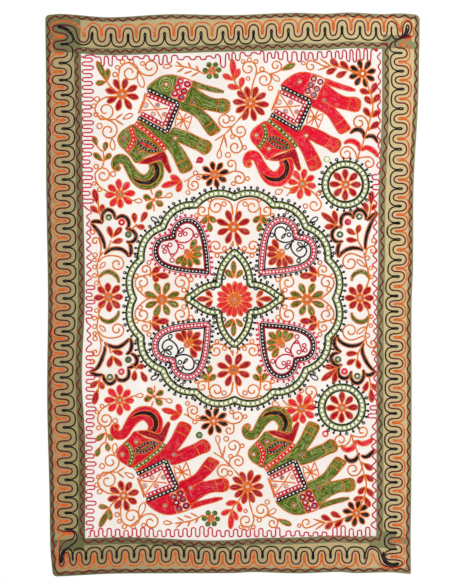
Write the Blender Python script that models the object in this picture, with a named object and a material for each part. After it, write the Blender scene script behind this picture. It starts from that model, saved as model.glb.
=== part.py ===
"""An embroidered wall hanging as it hangs: an ivory field panel in four olive border strips.

X runs across the cloth, Z up, and the embroidered face looks to -Y. The origin is the middle of
the top edge. A place on the cloth is given as it was cut flat: metres across from its middle line,
metres down from its top edge, and the lift of a layer towards the face.
"""

import math

import bmesh
import bpy

MM = 0.001

# The cloth as cut and sewn
WIDTH = 1.000
HEIGHT = 1.524
FIELD_THICK = 1.2 * MM
STRIP_THICK = 1.0 * MM
HEM_WIDTH = 13 * MM
HEM_GAP = 0.5 * MM
LAP = 16 * MM
CORNER_LAP = 31 * MM
PLY_GAP = 0.4 * MM

# Where the layers lie: the field's face is at lift 0, and each strip stands on what it covers
SIDE_LIFT = PLY_GAP + STRIP_THICK
CORNER_LIFT = SIDE_LIFT + PLY_GAP + STRIP_THICK
RISE_START = 0.345
RISE_END = 0.398

# How finely the layers are divided
FIELD_COLUMNS = 20
FIELD_ROWS = 30
FOLD_STEPS = 4

# The hung outline. Side edges: distance down, left edge and right edge, in mm
SIDE_EDGES = (
    (0, -508, 511),
    (230, -506, 507),
    (460, -506, 495),
    (690, -502, 493),
    (790, -501, 489),
    (1050, -503, 489),
    (1300, -497, 488),
    (1450, -494, 486),
    (1524, -487, 487),
)
# Top edge: distance across and height, in mm. The four high places are where it is held
TOP_EDGE = (
    (-500, 0),
    (-455, 3),
    (-330, -6),
    (-170, 3),
    (0, 0),
    (160, 7),
    (250, 4),
    (310, 7),
    (400, 3),
    (450, 5),
    (500, 1),
)
# Bottom edge: distance across and height above the cut length, in mm
BOTTOM_EDGE = (
    (-500, -4),
    (-350, 3),
    (-160, 5),
    (0, 5),
    (60, 8),
    (190, 5),
    (300, 8),
    (345, 5),
    (440, 8),
    (500, 3),
)
# Width of each strip: distance along it and width, in mm
STRIP_WIDTHS = {
    "left": ((0, 94), (110, 94), (500, 100), (780, 101), (980, 95), (1160, 102), (1400, 97), (1524, 96)),
    "right": ((0, 98), (110, 99), (370, 94), (600, 95), (860, 95), (1190, 96), (1524, 94)),
    "top": ((-500, 103), (-320, 104), (-165, 107), (-15, 100), (160, 101), (400, 95), (500, 94)),
    "bottom": ((-500, 98), (-275, 99), (-90, 90), (20, 91), (190, 98), (390, 99), (500, 98)),
}
# Soft folds that run down the cloth: place across, half width, and how far the cloth stands
# towards the face at its top, middle and bottom, in mm
FOLDS = (
    (-430, 90, 1.5, -2.0, 4.0),
    (-320, 95, 4.0, 1.5, -3.0),
    (-170, 100, -3.0, -1.0, 3.5),
    (-10, 120, 3.5, 2.5, -2.5),
    (165, 100, -3.5, -1.5, 4.5),
    (305, 95, 4.0, 0.5, -3.5),
    (440, 85, -1.5, -3.0, 4.0),
)
# Low ripples that cross the cloth: place down, half width, stand towards the face, in mm
RIPPLES = ((150, 110, 1.2), (520, 160, -1.5), (930, 170, 1.8), (1330, 120, -1.6))

IVORY = (0.86, 0.80, 0.72, 1.0)
OLIVE = (0.36, 0.33, 0.17, 1.0)


def through(rows, at, column=1):
    """A smooth curve through one column of a table whose first column is the place, all in mm."""
    places = [row[0] for row in rows]
    values = [row[column] for row in rows]
    at = min(max(at, places[0]), places[-1])
    slopes = []
    for i in range(len(rows)):
        before, after = max(i - 1, 0), min(i + 1, len(rows) - 1)
        slopes.append((values[after] - values[before]) / (places[after] - places[before]))
    i = max(k for k in range(len(rows) - 1) if places[k] <= at)
    step = places[i + 1] - places[i]
    t = (at - places[i]) / step
    start = values[i] * (2 * t**3 - 3 * t**2 + 1) + slopes[i] * step * (t**3 - 2 * t**2 + t)
    end = values[i + 1] * (3 * t**2 - 2 * t**3) + slopes[i + 1] * step * (t**3 - t**2)
    return start + end


def bump(distance, half_width):
    """One round fold's height, from 1 on its line to 0 far from it."""
    return math.exp(-((distance / half_width) ** 2))


def fold_stand(across, down):
    """How far the folds carry the cloth towards its face."""
    share = down / HEIGHT
    at_top, at_middle, at_bottom = (1 - share) * (1 - 2 * share), 4 * share * (1 - share), share * (2 * share - 1)
    stand = 0.0
    for place, half_width, top, middle, bottom in FOLDS:
        height = top * at_top + middle * at_middle + bottom * at_bottom
        stand += height * bump(across / MM - place, half_width)
    for place, half_width, height in RIPPLES:
        stand += height * bump(down / MM - place, half_width)
    return stand * MM


def hung(across, down, lift):
    """The hung place of a point of the cloth as it was cut flat."""
    left = through(SIDE_EDGES, down / MM, 1) * MM
    right = through(SIDE_EDGES, down / MM, 2) * MM
    top = through(TOP_EDGE, across / MM) * MM
    bottom = through(BOTTOM_EDGE, across / MM) * MM - HEIGHT
    x = left + (right - left) * (across / WIDTH + 0.5)
    z = top + (bottom - top) * down / HEIGHT
    return x, -fold_stand(across, down) - lift, z


MIDDLE = hung(0.0, 0.0, SIDE_LIFT)


def placed(across, down, lift):
    """hung(), moved so that the middle of the top edge is the origin."""
    return tuple(p - m for p, m in zip(hung(across, down, lift), MIDDLE))


def strip_width(side, along):
    return through(STRIP_WIDTHS[side], along / MM) * MM


def evenly(first, last, count):
    return [first + (last - first) * i / count for i in range(count + 1)]


def material(name, colour):
    made = bpy.data.materials.new(name)
    made.use_nodes = True
    shader = made.node_tree.nodes["Principled BSDF"]
    shader.inputs["Base Color"].default_value = colour
    shader.inputs["Roughness"].default_value = 0.9
    shader.inputs["Metallic"].default_value = 0.0
    return made


def add_node(name, points, faces, finish):
    """One closed solid with its faces turned outwards."""
    mesh = bpy.data.meshes.new(name)
    mesh.from_pydata(points, [], faces)
    shape = bmesh.new()
    shape.from_mesh(mesh)
    bmesh.ops.recalc_face_normals(shape, faces=shape.faces)
    shape.to_mesh(mesh)
    shape.free()
    mesh.materials.append(finish)
    mesh.shade_smooth()
    mesh.set_sharp_from_angle(angle=math.radians(40))
    node = bpy.data.objects.new(name, mesh)
    bpy.context.scene.collection.objects.link(node)
    return node


def field_lines(low_side, high_side, low_end, high_end, count):
    """Grid lines over the field: its edge and the strip's edge at both ends, and even steps between."""
    inner = evenly(low_end + low_side, high_end - high_side, count)
    return [inner[0] - LAP, *inner, inner[-1] + LAP]


def field_panel(finish):
    """The ivory panel, whose edges lie under the strips."""
    across_lines = field_lines(strip_width("left", 0.5 * HEIGHT), strip_width("right", 0.5 * HEIGHT),
                               -WIDTH / 2, WIDTH / 2, FIELD_COLUMNS)
    down_lines = field_lines(strip_width("top", 0.0), strip_width("bottom", 0.0), 0.0, HEIGHT, FIELD_ROWS)
    columns, rows = len(across_lines), len(down_lines)
    points = []
    for lift in (0.0, -FIELD_THICK):
        for j in range(rows):
            for i in range(columns):
                across = field_lines(strip_width("left", down_lines[j]), strip_width("right", down_lines[j]),
                                     -WIDTH / 2, WIDTH / 2, FIELD_COLUMNS)[i]
                down = field_lines(strip_width("top", across_lines[i]), strip_width("bottom", across_lines[i]),
                                   0.0, HEIGHT, FIELD_ROWS)[j]
                points.append(placed(across, down, lift))
    back = rows * columns
    faces = []
    for j in range(rows - 1):
        for i in range(columns - 1):
            a = j * columns + i
            face = (a, a + 1, a + columns + 1, a + columns)
            faces.append(face)
            faces.append(tuple(p + back for p in reversed(face)))
    rim = list(range(columns))
    rim += [j * columns + columns - 1 for j in range(1, rows)]
    rim += [(rows - 1) * columns + i for i in range(columns - 2, -1, -1)]
    rim += [j * columns for j in range(rows - 2, 0, -1)]
    for k, a in enumerate(rim):
        b = rim[(k + 1) % len(rim)]
        faces.append((b, a, a + back, b + back))
    return add_node("field_panel", points, faces, finish)


def hem_section(width):
    """A strip's cross-section: distance in from its outer edge, and depth behind its face.

    The cloth turns back at the outer edge and lies behind itself as a hem.
    """
    outer = STRIP_THICK + HEM_GAP / 2
    inner = HEM_GAP / 2
    middle = (HEM_WIDTH + width - CORNER_LAP) / 2
    face = [outer, HEM_WIDTH, middle, width - CORNER_LAP, width - LAP, width]
    section = [(d, 0.0) for d in face]
    section += [(d, STRIP_THICK) for d in reversed(face)]
    section.append((outer - inner, outer))
    hem_back = 2 * STRIP_THICK + HEM_GAP
    section += [(outer, STRIP_THICK + HEM_GAP), (HEM_WIDTH, STRIP_THICK + HEM_GAP)]
    section += [(HEM_WIDTH, hem_back), (outer, hem_back)]
    for k in range(1, FOLD_STEPS):
        turn = math.pi * k / FOLD_STEPS
        section.append((outer - outer * math.sin(turn), outer + outer * math.cos(turn)))
    return section


def corner_rise(across):
    """How far a top or bottom strip's face stands up, since it passes over the side strips."""
    t = min(max((abs(across) - RISE_START) / (RISE_END - RISE_START), 0.0), 1.0)
    return SIDE_LIFT + (CORNER_LIFT - SIDE_LIFT) * t * t * (3 - 2 * t)


def on_strip(side, along, inward, depth):
    """A point of a strip, from the distance along it, in from its outer edge and behind its face."""
    if side == "left":
        return placed(inward - WIDTH / 2, along, SIDE_LIFT - depth)
    if side == "right":
        return placed(WIDTH / 2 - inward, along, SIDE_LIFT - depth)
    down = inward if side == "top" else HEIGHT - inward
    return placed(along, down, corner_rise(along) - depth)


def border_strip(side, stations, finish):
    """One olive strip with its hem, swept along the stations."""
    points = []
    for along in stations:
        section = hem_section(strip_width(side, along))
        points += [on_strip(side, along, inward, depth) for inward, depth in section]
    around = len(section)
    faces = []
    for j in range(len(stations) - 1):
        for k in range(around):
            a, b = j * around + k, j * around + (k + 1) % around
            faces.append((a, b, b + around, a + around))
    faces.append(tuple(range(around)))
    faces.append(tuple(range((len(stations) - 1) * around, len(stations) * around)))
    return add_node(f"border_{side}", points, faces, finish)


def side_stations(side):
    """Places down a side strip, from its end under the top strip to its end under the bottom one."""
    middle = -WIDTH / 2 if side == "left" else WIDTH / 2
    first = strip_width("top", middle)
    last = HEIGHT - strip_width("bottom", middle)
    inner = evenly(first, last, FIELD_ROWS)
    return [first - CORNER_LAP, first - LAP, *inner, last + LAP, last + CORNER_LAP]


def end_stations():
    """Places across a top or bottom strip, with the side strips' own lines at both ends."""
    width = strip_width("left", 0.0)
    half = WIDTH / 2
    corner = [half, half - HEM_WIDTH, half - (HEM_WIDTH + width - CORNER_LAP) / 2]
    corner += [half - width + CORNER_LAP, half - width + LAP, half - width]
    inner = evenly(-half + width, half - width, FIELD_COLUMNS)
    return [-c for c in corner[:-1]] + inner + corner[-2::-1]


def main():
    for old in list(bpy.data.objects):
        bpy.data.objects.remove(old)
    ivory = material("ivory_cloth", IVORY)
    olive = material("olive_cloth", OLIVE)
    field_panel(ivory)
    for side in ("left", "right"):
        border_strip(side, side_stations(side), olive)
    for side in ("top", "bottom"):
        border_strip(side, end_stations(), olive)


main()
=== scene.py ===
import math
import random
from contextlib import contextmanager

import bmesh
import bpy
import numpy as np
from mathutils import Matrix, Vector

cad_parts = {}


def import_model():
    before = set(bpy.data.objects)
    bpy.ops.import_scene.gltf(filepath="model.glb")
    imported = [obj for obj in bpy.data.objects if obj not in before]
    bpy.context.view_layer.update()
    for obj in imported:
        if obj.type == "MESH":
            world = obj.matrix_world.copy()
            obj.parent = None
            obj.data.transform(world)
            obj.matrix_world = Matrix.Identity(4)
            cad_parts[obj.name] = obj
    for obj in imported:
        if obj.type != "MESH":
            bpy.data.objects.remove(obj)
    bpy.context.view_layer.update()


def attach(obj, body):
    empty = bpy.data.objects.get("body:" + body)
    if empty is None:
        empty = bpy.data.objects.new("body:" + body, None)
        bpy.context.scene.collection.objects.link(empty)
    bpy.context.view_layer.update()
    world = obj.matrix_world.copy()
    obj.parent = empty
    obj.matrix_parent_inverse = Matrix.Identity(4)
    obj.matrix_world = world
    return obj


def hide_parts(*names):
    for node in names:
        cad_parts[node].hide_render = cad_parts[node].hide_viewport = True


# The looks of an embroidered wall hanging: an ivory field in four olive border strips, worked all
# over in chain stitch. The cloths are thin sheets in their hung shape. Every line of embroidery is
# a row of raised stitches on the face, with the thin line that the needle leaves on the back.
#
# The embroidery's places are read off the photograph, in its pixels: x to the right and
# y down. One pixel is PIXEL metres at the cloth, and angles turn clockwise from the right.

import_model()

MM = 0.001
PIXEL = 2.72 * MM
PHOTO_SIZE = (452, 584)
PHOTO_MIDDLE_X = 232
PHOTO_TOP_Y = 15

# The cloth, as in the part's source
WIDTH = 1.000
HEIGHT = 1.524
FIELD_THICK = 1.2 * MM
STRIP_THICK = 1.0 * MM
HEM_WIDTH = 13 * MM
HEM_GAP = 0.5 * MM
LAP = 16 * MM
CORNER_LAP = 31 * MM
PLY_GAP = 0.4 * MM
SIDE_LIFT = PLY_GAP + STRIP_THICK
CORNER_LIFT = SIDE_LIFT + PLY_GAP + STRIP_THICK
RISE_START = 0.345
RISE_END = 0.398
SIDE_EDGES = (
    (0, -508, 511), (230, -506, 507), (460, -506, 495), (690, -502, 493), (790, -501, 489),
    (1050, -503, 489), (1300, -497, 488), (1450, -494, 486), (1524, -487, 487),
)
TOP_EDGE = (
    (-500, 0), (-455, 3), (-330, -6), (-170, 3), (0, 0), (160, 7), (250, 4), (310, 7), (400, 3), (450, 5),
    (500, 1),
)
BOTTOM_EDGE = (
    (-500, -4), (-350, 3), (-160, 5), (0, 5), (60, 8), (190, 5), (300, 8), (345, 5), (440, 8), (500, 3),
)
STRIP_WIDTHS = {
    "left": ((0, 94), (110, 94), (500, 100), (780, 101), (980, 95), (1160, 102), (1400, 97), (1524, 96)),
    "right": ((0, 98), (110, 99), (370, 94), (600, 95), (860, 95), (1190, 96), (1524, 94)),
    "top": ((-500, 103), (-320, 104), (-165, 107), (-15, 100), (160, 101), (400, 95), (500, 94)),
    "bottom": ((-500, 98), (-275, 99), (-90, 90), (20, 91), (190, 98), (390, 99), (500, 98)),
}
FOLDS = (
    (-430, 90, 1.5, -2.0, 4.0),
    (-320, 95, 4.0, 1.5, -3.0),
    (-170, 100, -3.0, -1.0, 3.5),
    (-10, 120, 3.5, 2.5, -2.5),
    (165, 100, -3.5, -1.5, 4.5),
    (305, 95, 4.0, 0.5, -3.5),
    (440, 85, -1.5, -3.0, 4.0),
)
RIPPLES = ((150, 110, 1.2), (520, 160, -1.5), (930, 170, 1.8), (1330, 120, -1.6))

# Small puckers that the stitches draw into the cloth: wave lengths across and down, and height, in mm
PUCKERS = ((61, 83, 0.30), (37, 52, 0.22), (23, 29, 0.14))

# The cloth's corners: to the left or right of the middle, above or below it, and their radius
ROUND_CORNERS = ((-1, -1, 11 * MM), (1, -1, 14 * MM), (-1, 1, 12 * MM), (1, 1, 5 * MM))

# The size that the field was cut to
FIELD_FLAT = (0.84, 1.36)

# How finely the cloths are divided, and where they are cut finer from an edge
CLOTH_STEP = 9 * MM
FINE_CUTS = (2.6 * MM, 4.4 * MM, 6.6 * MM)

# Stitches, in mm
STITCH_LENGTH = 4.6
THREAD_WIDTH = 5.0
VINE_WIDTH = 5.5
PACKED_WIDTH = 3.6
THREAD_HEIGHT = 1.15
BACK_WIDTH = 1.3
BACK_HEIGHT = 0.3
# Height of the lines that lie over filled shapes
OVER = 2.1
# Width of thin lines
FINE_WIDTH = 4.2

# In pixels: the distance between the rows of a filled shape, and between rows side by side in a
# band, how far apart the places are that a path is followed by, and the step of a filled shape's grid
ROW_PITCH = 1.04
LINE_PITCH = 0.95
PATH_STEP = 0.5
FILL_STEP = 0.4

random.seed(11)


def through(rows, at, column=1):
    """Smooth curves through one column of a table whose first column is the place, all in mm."""
    table = np.array(rows, float)
    places, values = table[:, 0], table[:, column]
    at = np.clip(at, places[0], places[-1])
    slopes = np.gradient(values)
    slopes[1:-1] = (values[2:] - values[:-2]) / (places[2:] - places[:-2])
    slopes[0] = (values[1] - values[0]) / (places[1] - places[0])
    slopes[-1] = (values[-1] - values[-2]) / (places[-1] - places[-2])
    i = np.clip(np.searchsorted(places, at, side="right") - 1, 0, len(places) - 2)
    step = places[i + 1] - places[i]
    t = (at - places[i]) / step
    start = values[i] * (2 * t**3 - 3 * t**2 + 1) + slopes[i] * step * (t**3 - 2 * t**2 + t)
    end = values[i + 1] * (3 * t**2 - 2 * t**3) + slopes[i + 1] * step * (t**3 - t**2)
    return start + end


def fold_stand(across, down):
    """How far the folds carry the cloth towards its face, as in the part's source."""
    share = down / HEIGHT
    at_top = (1 - share) * (1 - 2 * share)
    at_middle = 4 * share * (1 - share)
    at_bottom = share * (2 * share - 1)
    stand = 0.0
    for place, half_width, top, middle, bottom in FOLDS:
        height = top * at_top + middle * at_middle + bottom * at_bottom
        stand = stand + height * np.exp(-(((across / MM - place) / half_width) ** 2))
    for place, half_width, height in RIPPLES:
        stand = stand + height * np.exp(-(((down / MM - place) / half_width) ** 2))
    return stand * MM


def pucker(across, down):
    """The stitches' small puckers, added to the folds."""
    stand = 0.0
    for n, (wide, tall, height) in enumerate(PUCKERS):
        lean = 0.35 * math.sin(2.1 * n + 1)
        u = (across + lean * down) / (wide * MM) * 2 * math.pi
        v = (down - lean * across) / (tall * MM) * 2 * math.pi
        bent_u = u + 1.7 * np.sin(0.37 * v + n)
        bent_v = v + 1.3 * np.sin(0.41 * u - n)
        stand = stand + height * np.sin(bent_u) * np.sin(bent_v)
    return stand * MM


def edges(across, down):
    """The x of the cloth's left and right edge and the z of its top and bottom edge."""
    left = through(SIDE_EDGES, down / MM, 1) * MM
    right = through(SIDE_EDGES, down / MM, 2) * MM
    top = through(TOP_EDGE, across / MM) * MM
    bottom = through(BOTTOM_EDGE, across / MM) * MM - HEIGHT
    return left, right, top, bottom


MIDDLE_X = sum(SIDE_EDGES[0][1:]) / 2 * MM
MIDDLE_Y = -float(fold_stand(0.0, 0.0)) - SIDE_LIFT


def rounded(across, down):
    """Draws the cloth's four square corners in, so that they are round."""
    for side, end, radius in ROUND_CORNERS:
        u = (across * side - WIDTH / 2) / radius + 1
        v = ((down - HEIGHT / 2) * end - HEIGHT / 2) / radius + 1
        near = (u > 0) & (v > 0)
        round_u, round_v = u * np.sqrt(1 - v * v / 2 * near), v * np.sqrt(1 - u * u / 2 * near)
        across = np.where(near, side * (WIDTH / 2 + (round_u - 1) * radius), across)
        down = np.where(near, HEIGHT / 2 + end * (HEIGHT / 2 + (round_v - 1) * radius), down)
    return across, down


def placed(across, down, lift):
    """The hung place of points of the cloth as it was cut flat. lift is towards the face."""
    across, down = rounded(across, down)
    left, right, top, bottom = edges(across, down)
    x = left + (right - left) * (across / WIDTH + 0.5) - MIDDLE_X
    z = top + (bottom - top) * down / HEIGHT
    y = -fold_stand(across, down) - pucker(across, down) - lift - MIDDLE_Y
    return np.stack([x, y, z], axis=-1)


def laid_flat(x, z):
    """The flat place, across and down, of hung places."""
    across, down = x.copy(), -z
    for _ in range(5):
        left, right, top, bottom = edges(across, down)
        across = ((x + MIDDLE_X - left) / (right - left) - 0.5) * WIDTH
        down = (z - top) / (bottom - top) * HEIGHT
    return across, down


def strip_width(side, along):
    return through(STRIP_WIDTHS[side], along / MM) * MM


def corner_rise(across):
    """How far a top or bottom strip stands in front of the field, more where it lies over a side strip."""
    t = np.clip((np.abs(across) - RISE_START) / (RISE_END - RISE_START), 0, 1)
    return SIDE_LIFT + (CORNER_LIFT - SIDE_LIFT) * t * t * (3 - 2 * t)


def face_lift(across, down):
    """How far the cloth that shows at a flat place stands in front of the field's face."""
    over_end = (down < strip_width("top", across)) | (down > HEIGHT - strip_width("bottom", across))
    over_side = across < strip_width("left", down) - WIDTH / 2
    over_side = over_side | (across > WIDTH / 2 - strip_width("right", down))
    return np.where(over_end, corner_rise(across), np.where(over_side, SIDE_LIFT, 0.0))


def on_cloth(points, height):
    """World points that stand height metres in front of the cloth at points of the photograph."""
    x = (points[:, 0] - PHOTO_MIDDLE_X) * PIXEL - MIDDLE_X
    z = -(points[:, 1] - PHOTO_TOP_Y) * PIXEL
    across, down = laid_flat(x, z)
    y = -fold_stand(across, down) - pucker(across, down) - face_lift(across, down) - height - MIDDLE_Y
    return np.stack([x, y, z], axis=-1)


class Heap:
    """The faces of one piece of embroidery, gathered before its mesh is made."""

    def __init__(self):
        self.points, self.heights, self.quads, self.uvs, self.count = [], [], [], [], 0

    def add(self, points, heights, quads, uvs):
        self.points.append(points)
        self.heights.append(heights)
        self.quads.append(quads + self.count)
        self.uvs.append(uvs)
        self.count += len(points)


HEAPS = {}
SEQUINS = []

# How the next stitches are worked: where points of the drawing go, which colours take the place
# of others, the piece that they are gathered in, and how far the cloth's back is behind its face
HAND = {"place": lambda points: points, "dyes": {}, "area": "upper", "cloth": FIELD_THICK}


@contextmanager
def worked(**changes):
    before = dict(HAND)
    HAND.update(changes)
    yield
    HAND.update(before)


def heap(colour):
    colour = HAND["dyes"].get(colour, colour)
    return HEAPS.setdefault((colour, HAND["area"]), Heap())


def smooth(points, closed=False, step=0.7):
    """A smooth curve through points, as close points in pixels."""
    p = np.array(points, float)
    if len(p) < 3:
        closed = False
    if closed:
        p = np.vstack([p[-1], p, p[0], p[1]])
    else:
        p = np.vstack([2 * p[0] - p[1], p, 2 * p[-1] - p[-2]])
    out = []
    for a, b, c, d in zip(p[:-3], p[1:-2], p[2:-1], p[3:]):
        n = max(2, int(math.dist(b, c) / step))
        t = np.arange(n)[:, None] / n
        curve = 2 * b + (c - a) * t + (2 * a - 5 * b + 4 * c - d) * t**2 + (3 * b - a - 3 * c + d) * t**3
        out.append(0.5 * curve)
    out.append(p[-2:-1])
    return np.vstack(out)


def evenly_spaced(points, step):
    """The same line with points an even step apart, about step, and its length."""
    lengths = np.concatenate([[0], np.cumsum(np.linalg.norm(np.diff(points, axis=0), axis=1))])
    total = lengths[-1]
    n = max(2, int(round(total / step)))
    at = np.linspace(0, total, n + 1)
    spaced = np.stack([np.interp(at, lengths, points[:, 0]), np.interp(at, lengths, points[:, 1])], axis=-1)
    return spaced, total


def sideways(points, closed):
    """Unit normals of a line."""
    if closed:
        along = np.roll(points, -1, axis=0) - np.roll(points, 1, axis=0)
        along[0] = points[1] - points[-2]
        along[-1] = along[0]
    else:
        along = np.gradient(points, axis=0)
    along = along / np.maximum(np.linalg.norm(along, axis=1, keepdims=True), 1e-9)
    return np.stack([-along[:, 1], along[:, 0]], axis=-1)


def ridge(target, spine, normals, spread, heights, uv_row):
    """Quads over a row of cross-sections. spread and heights are a section's own places, row by row."""
    rows, around = spread.shape
    points = (spine[:, None, :] + normals[:, None, :] * spread[:, :, None]).reshape(-1, 2)
    a = np.arange(rows - 1)[:, None] * around + np.arange(around - 1)[None, :]
    quads = np.stack([a, a + 1, a + around + 1, a + around], axis=-1).reshape(-1, 4)
    v = np.linspace(0.04, 0.96, around)[None, :] + uv_row[1]
    u = uv_row[0][:, None] + 0 * v
    uvs = np.stack([u, v + 0 * u], axis=-1).reshape(-1, 2)
    target.add(points, heights.reshape(-1), quads, uvs)


# Cross-sections: places across a row, as shares of its width, and their shares of its height
ROUND_SECTION = np.array([(-0.5, -0.3), (-0.24, 1.0), (0.24, 1.0), (0.5, -0.3)])
PACKED_SECTION = np.array([(-0.5, 0.1), (0.0, 1.05), (0.5, 0.1)])
BACK_SECTION = np.array([(0.5, -1.0), (-0.5, -1.0)])
# A stitch is narrower where it starts and ends, and narrowest at the ends of an open line
WAIST, END_WAIST = 0.80, 0.55
WAIST_HEIGHT = 0.55
# The rows are numbered round, and each number is a row of the piece's UV map
ROW_NUMBERS = 97
ROW_COUNT = [0]


def stitch(colour, points, width=None, height=THREAD_HEIGHT, closed=False, back=True, packed=False):
    """One line of chain stitch along close points of the photograph. packed is for rows side by side."""
    width = width or (PACKED_WIDTH if packed else THREAD_WIDTH)
    points = HAND["place"](np.asarray(points, float))
    if closed:
        points = np.vstack([points, points[:1]])
    half_step = STITCH_LENGTH / 2 * MM / PIXEL
    spine, total = evenly_spaced(points, half_step)
    if total < 0.8 * half_step:
        return
    n = len(spine)
    normals = sideways(spine, closed)
    ROW_COUNT[0] += 1
    row = ROW_COUNT[0] % ROW_NUMBERS
    u = np.arange(n) / 2 + (ROW_COUNT[0] * 7 % 13)
    waist = np.where(np.arange(n) % 2 == 0, WAIST, 1.0)
    if not closed:
        waist[0] = waist[-1] = END_WAIST
    section = PACKED_SECTION if packed else ROUND_SECTION
    spread = section[None, :, 0] * waist[:, None] * (width * MM / PIXEL)
    swell = WAIST_HEIGHT + (1 - WAIST_HEIGHT) * waist[:, None]
    tall = section[None, :, 1] * swell * height * MM
    ridge(heap(colour), spine, normals, spread, tall, (u, row))
    if back and n > 3:
        few = spine[::2] if n % 2 else np.vstack([spine[::2], spine[-1:]])
        few_normals = sideways(few, closed)
        thin = BACK_SECTION[None, :, 0] * np.full((len(few), 1), BACK_WIDTH * MM / PIXEL)
        depth = BACK_SECTION[None, :, 1] * np.full((len(few), 1), BACK_HEIGHT * MM) - HAND["cloth"]
        ridge(heap(colour), few, few_normals, thin, depth, (np.arange(len(few)) + 0.0, row))


def polar(x, y, radius, degrees):
    a = math.radians(degrees)
    return x + radius * math.cos(a), y + radius * math.sin(a)


def berry(colour, x, y, radius, width=4.5):
    """A small open ring."""
    stitch(colour, circle(x, y, radius), width=width, closed=True, back=False)


CURL_END = 0.2


def spiral(start, centre, turns):
    """Points from start round centre, drawing in to CURL_END of the first radius."""
    dx, dy = start[0] - centre[0], start[1] - centre[1]
    radius, first = math.hypot(dx, dy), math.atan2(dy, dx)
    t = np.linspace(0, 1, max(8, int(abs(turns) * 22)))
    r = radius * (1 - (1 - CURL_END) * t)
    a = first + turns * 2 * math.pi * t
    return np.stack([centre[0] + r * np.cos(a), centre[1] + r * np.sin(a)], axis=-1)


def vine(colour, *row):
    """A stem through places x, y, x, y and so on.

    A row with the turns of a curl and its centre x, y before the places ends in that curl.
    """
    curls = len(row) % 2
    places = row[3:] if curls else row
    points = list(zip(places[::2], places[1::2]))
    if curls:
        points[-1:] = [tuple(p) for p in spiral(points[-1], row[1:3], row[0])[::2]]
    stitch(colour, smooth(points), width=VINE_WIDTH)


def drop(colour, x, y, tip_x, tip_y, half_width):
    """An open teardrop loop."""
    stitch(colour, teardrop((x, y), (tip_x, tip_y), half_width), width=4.5, closed=True)


def teardrop(base, tip, half_width, inset=0.0):
    """A leaf or petal: narrow at its base, widest past its middle, and round at its tip."""
    base, tip = np.array(base, float), np.array(tip, float)
    along = (tip - base) / np.linalg.norm(tip - base)
    side = np.array([-along[1], along[0]])
    base, tip = base + along * inset * 2.2, tip - along * inset
    t = np.linspace(0, 1, 9)
    wide = (half_width - inset) * np.sin(math.pi * t**1.45) ** 0.6
    wide[-1] = wide[0] = 0.0
    middle = base + along * (t * np.linalg.norm(tip - base))[:, None]
    there, back = middle + side * wide[:, None], middle - side * wide[:, None]
    return smooth(np.vstack([there, back[-2:0:-1]]), closed=True, step=0.6)


# Painted highlights: a lighter thread that runs here and there in leaves, petals and filled shapes, for the
# sheen of the thread
HIGHLIGHT_THREADS = {"maroon": "rose", "crimson": "rose", "red": "rose", "deep_red": "rose", "green": "pale_green"}
HIGHLIGHT_DRAWS = random.Random(3)
# Leaves and petals: the first row's distance from the edge in pixels, how much petals vary in reach
# and in angle, in degrees, and the share of them all that has a painted highlight of lighter thread
PETAL_INSET = 0.85
UNEVEN_REACH = 0.06
UNEVEN_ANGLE = 2
HIGHLIGHTED = 0.7


def leaf(colour, base, tip, half_width):
    """A filled teardrop with a thin line round it."""
    inset = PETAL_INSET
    while inset < half_width - 0.15:
        stitch(colour, teardrop(base, tip, half_width, inset), closed=True, packed=True)
        inset += ROW_PITCH
    base, tip = np.array(base, float), np.array(tip, float)
    near = base + (tip - base) * 0.12
    far = tip - (tip - base) / np.linalg.norm(tip - base) * half_width * 0.9
    stitch(colour, np.array([near, (near + far) / 2, far]), height=1.25, back=False)
    # A painted highlight: a short line of lighter thread down the middle of some petals
    if colour in HIGHLIGHT_THREADS and random.random() < HIGHLIGHTED:
        middle = near + (far - near) * random.uniform(0.35, 0.6)
        highlight_line = np.array([middle, (middle + far) / 2, far])
        stitch(HIGHLIGHT_THREADS[colour], highlight_line, width=2.7, height=1.6, back=False)
    stitch("orange", teardrop(base, tip, half_width), width=FINE_WIDTH, height=1.1, closed=True)


def bare_sequin(x, y, lift=0.5):
    """A silvered disc of about 7 mm, lift mm above the ground."""
    (x, y), = HAND["place"](np.array([[x, y]], float))
    SEQUINS.append((x, y, lift))


def sequin(x, y, ring, radius, rings=1, lift=0.5, width=3.4):
    """A silvered disc with rings of stitches round it."""
    bare_sequin(x, y, lift)
    for k in range(rings):
        round_it = circle(x, y, radius + k * LINE_PITCH)
        stitch(ring, round_it, width=width, height=lift + 1.0, closed=True)


def flower(x, y, petals, radius, turn, colour, half_width, inner=0.25, rings=0):
    """Petals round a sequin, with the first one at the angle turn. They start at inner of the radius."""
    for k in range(petals):
        angle = turn + 360 * k / petals + random.uniform(-UNEVEN_ANGLE, UNEVEN_ANGLE)
        reach = radius * (1 + random.uniform(-UNEVEN_REACH, UNEVEN_REACH))
        leaf(colour, polar(x, y, radius * inner, angle), polar(x, y, reach, angle), half_width + 0.4)
    sequin(x, y, "orange", 2.0, rings or round(radius / 4.6))


def offset_line(points, distance, closed=False):
    """The same line moved sideways."""
    return points + sideways(points, closed) * distance


# How far the outer rows of a thick line lie inside its edge, in pixels
TAPER_INSET = 0.7


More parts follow.
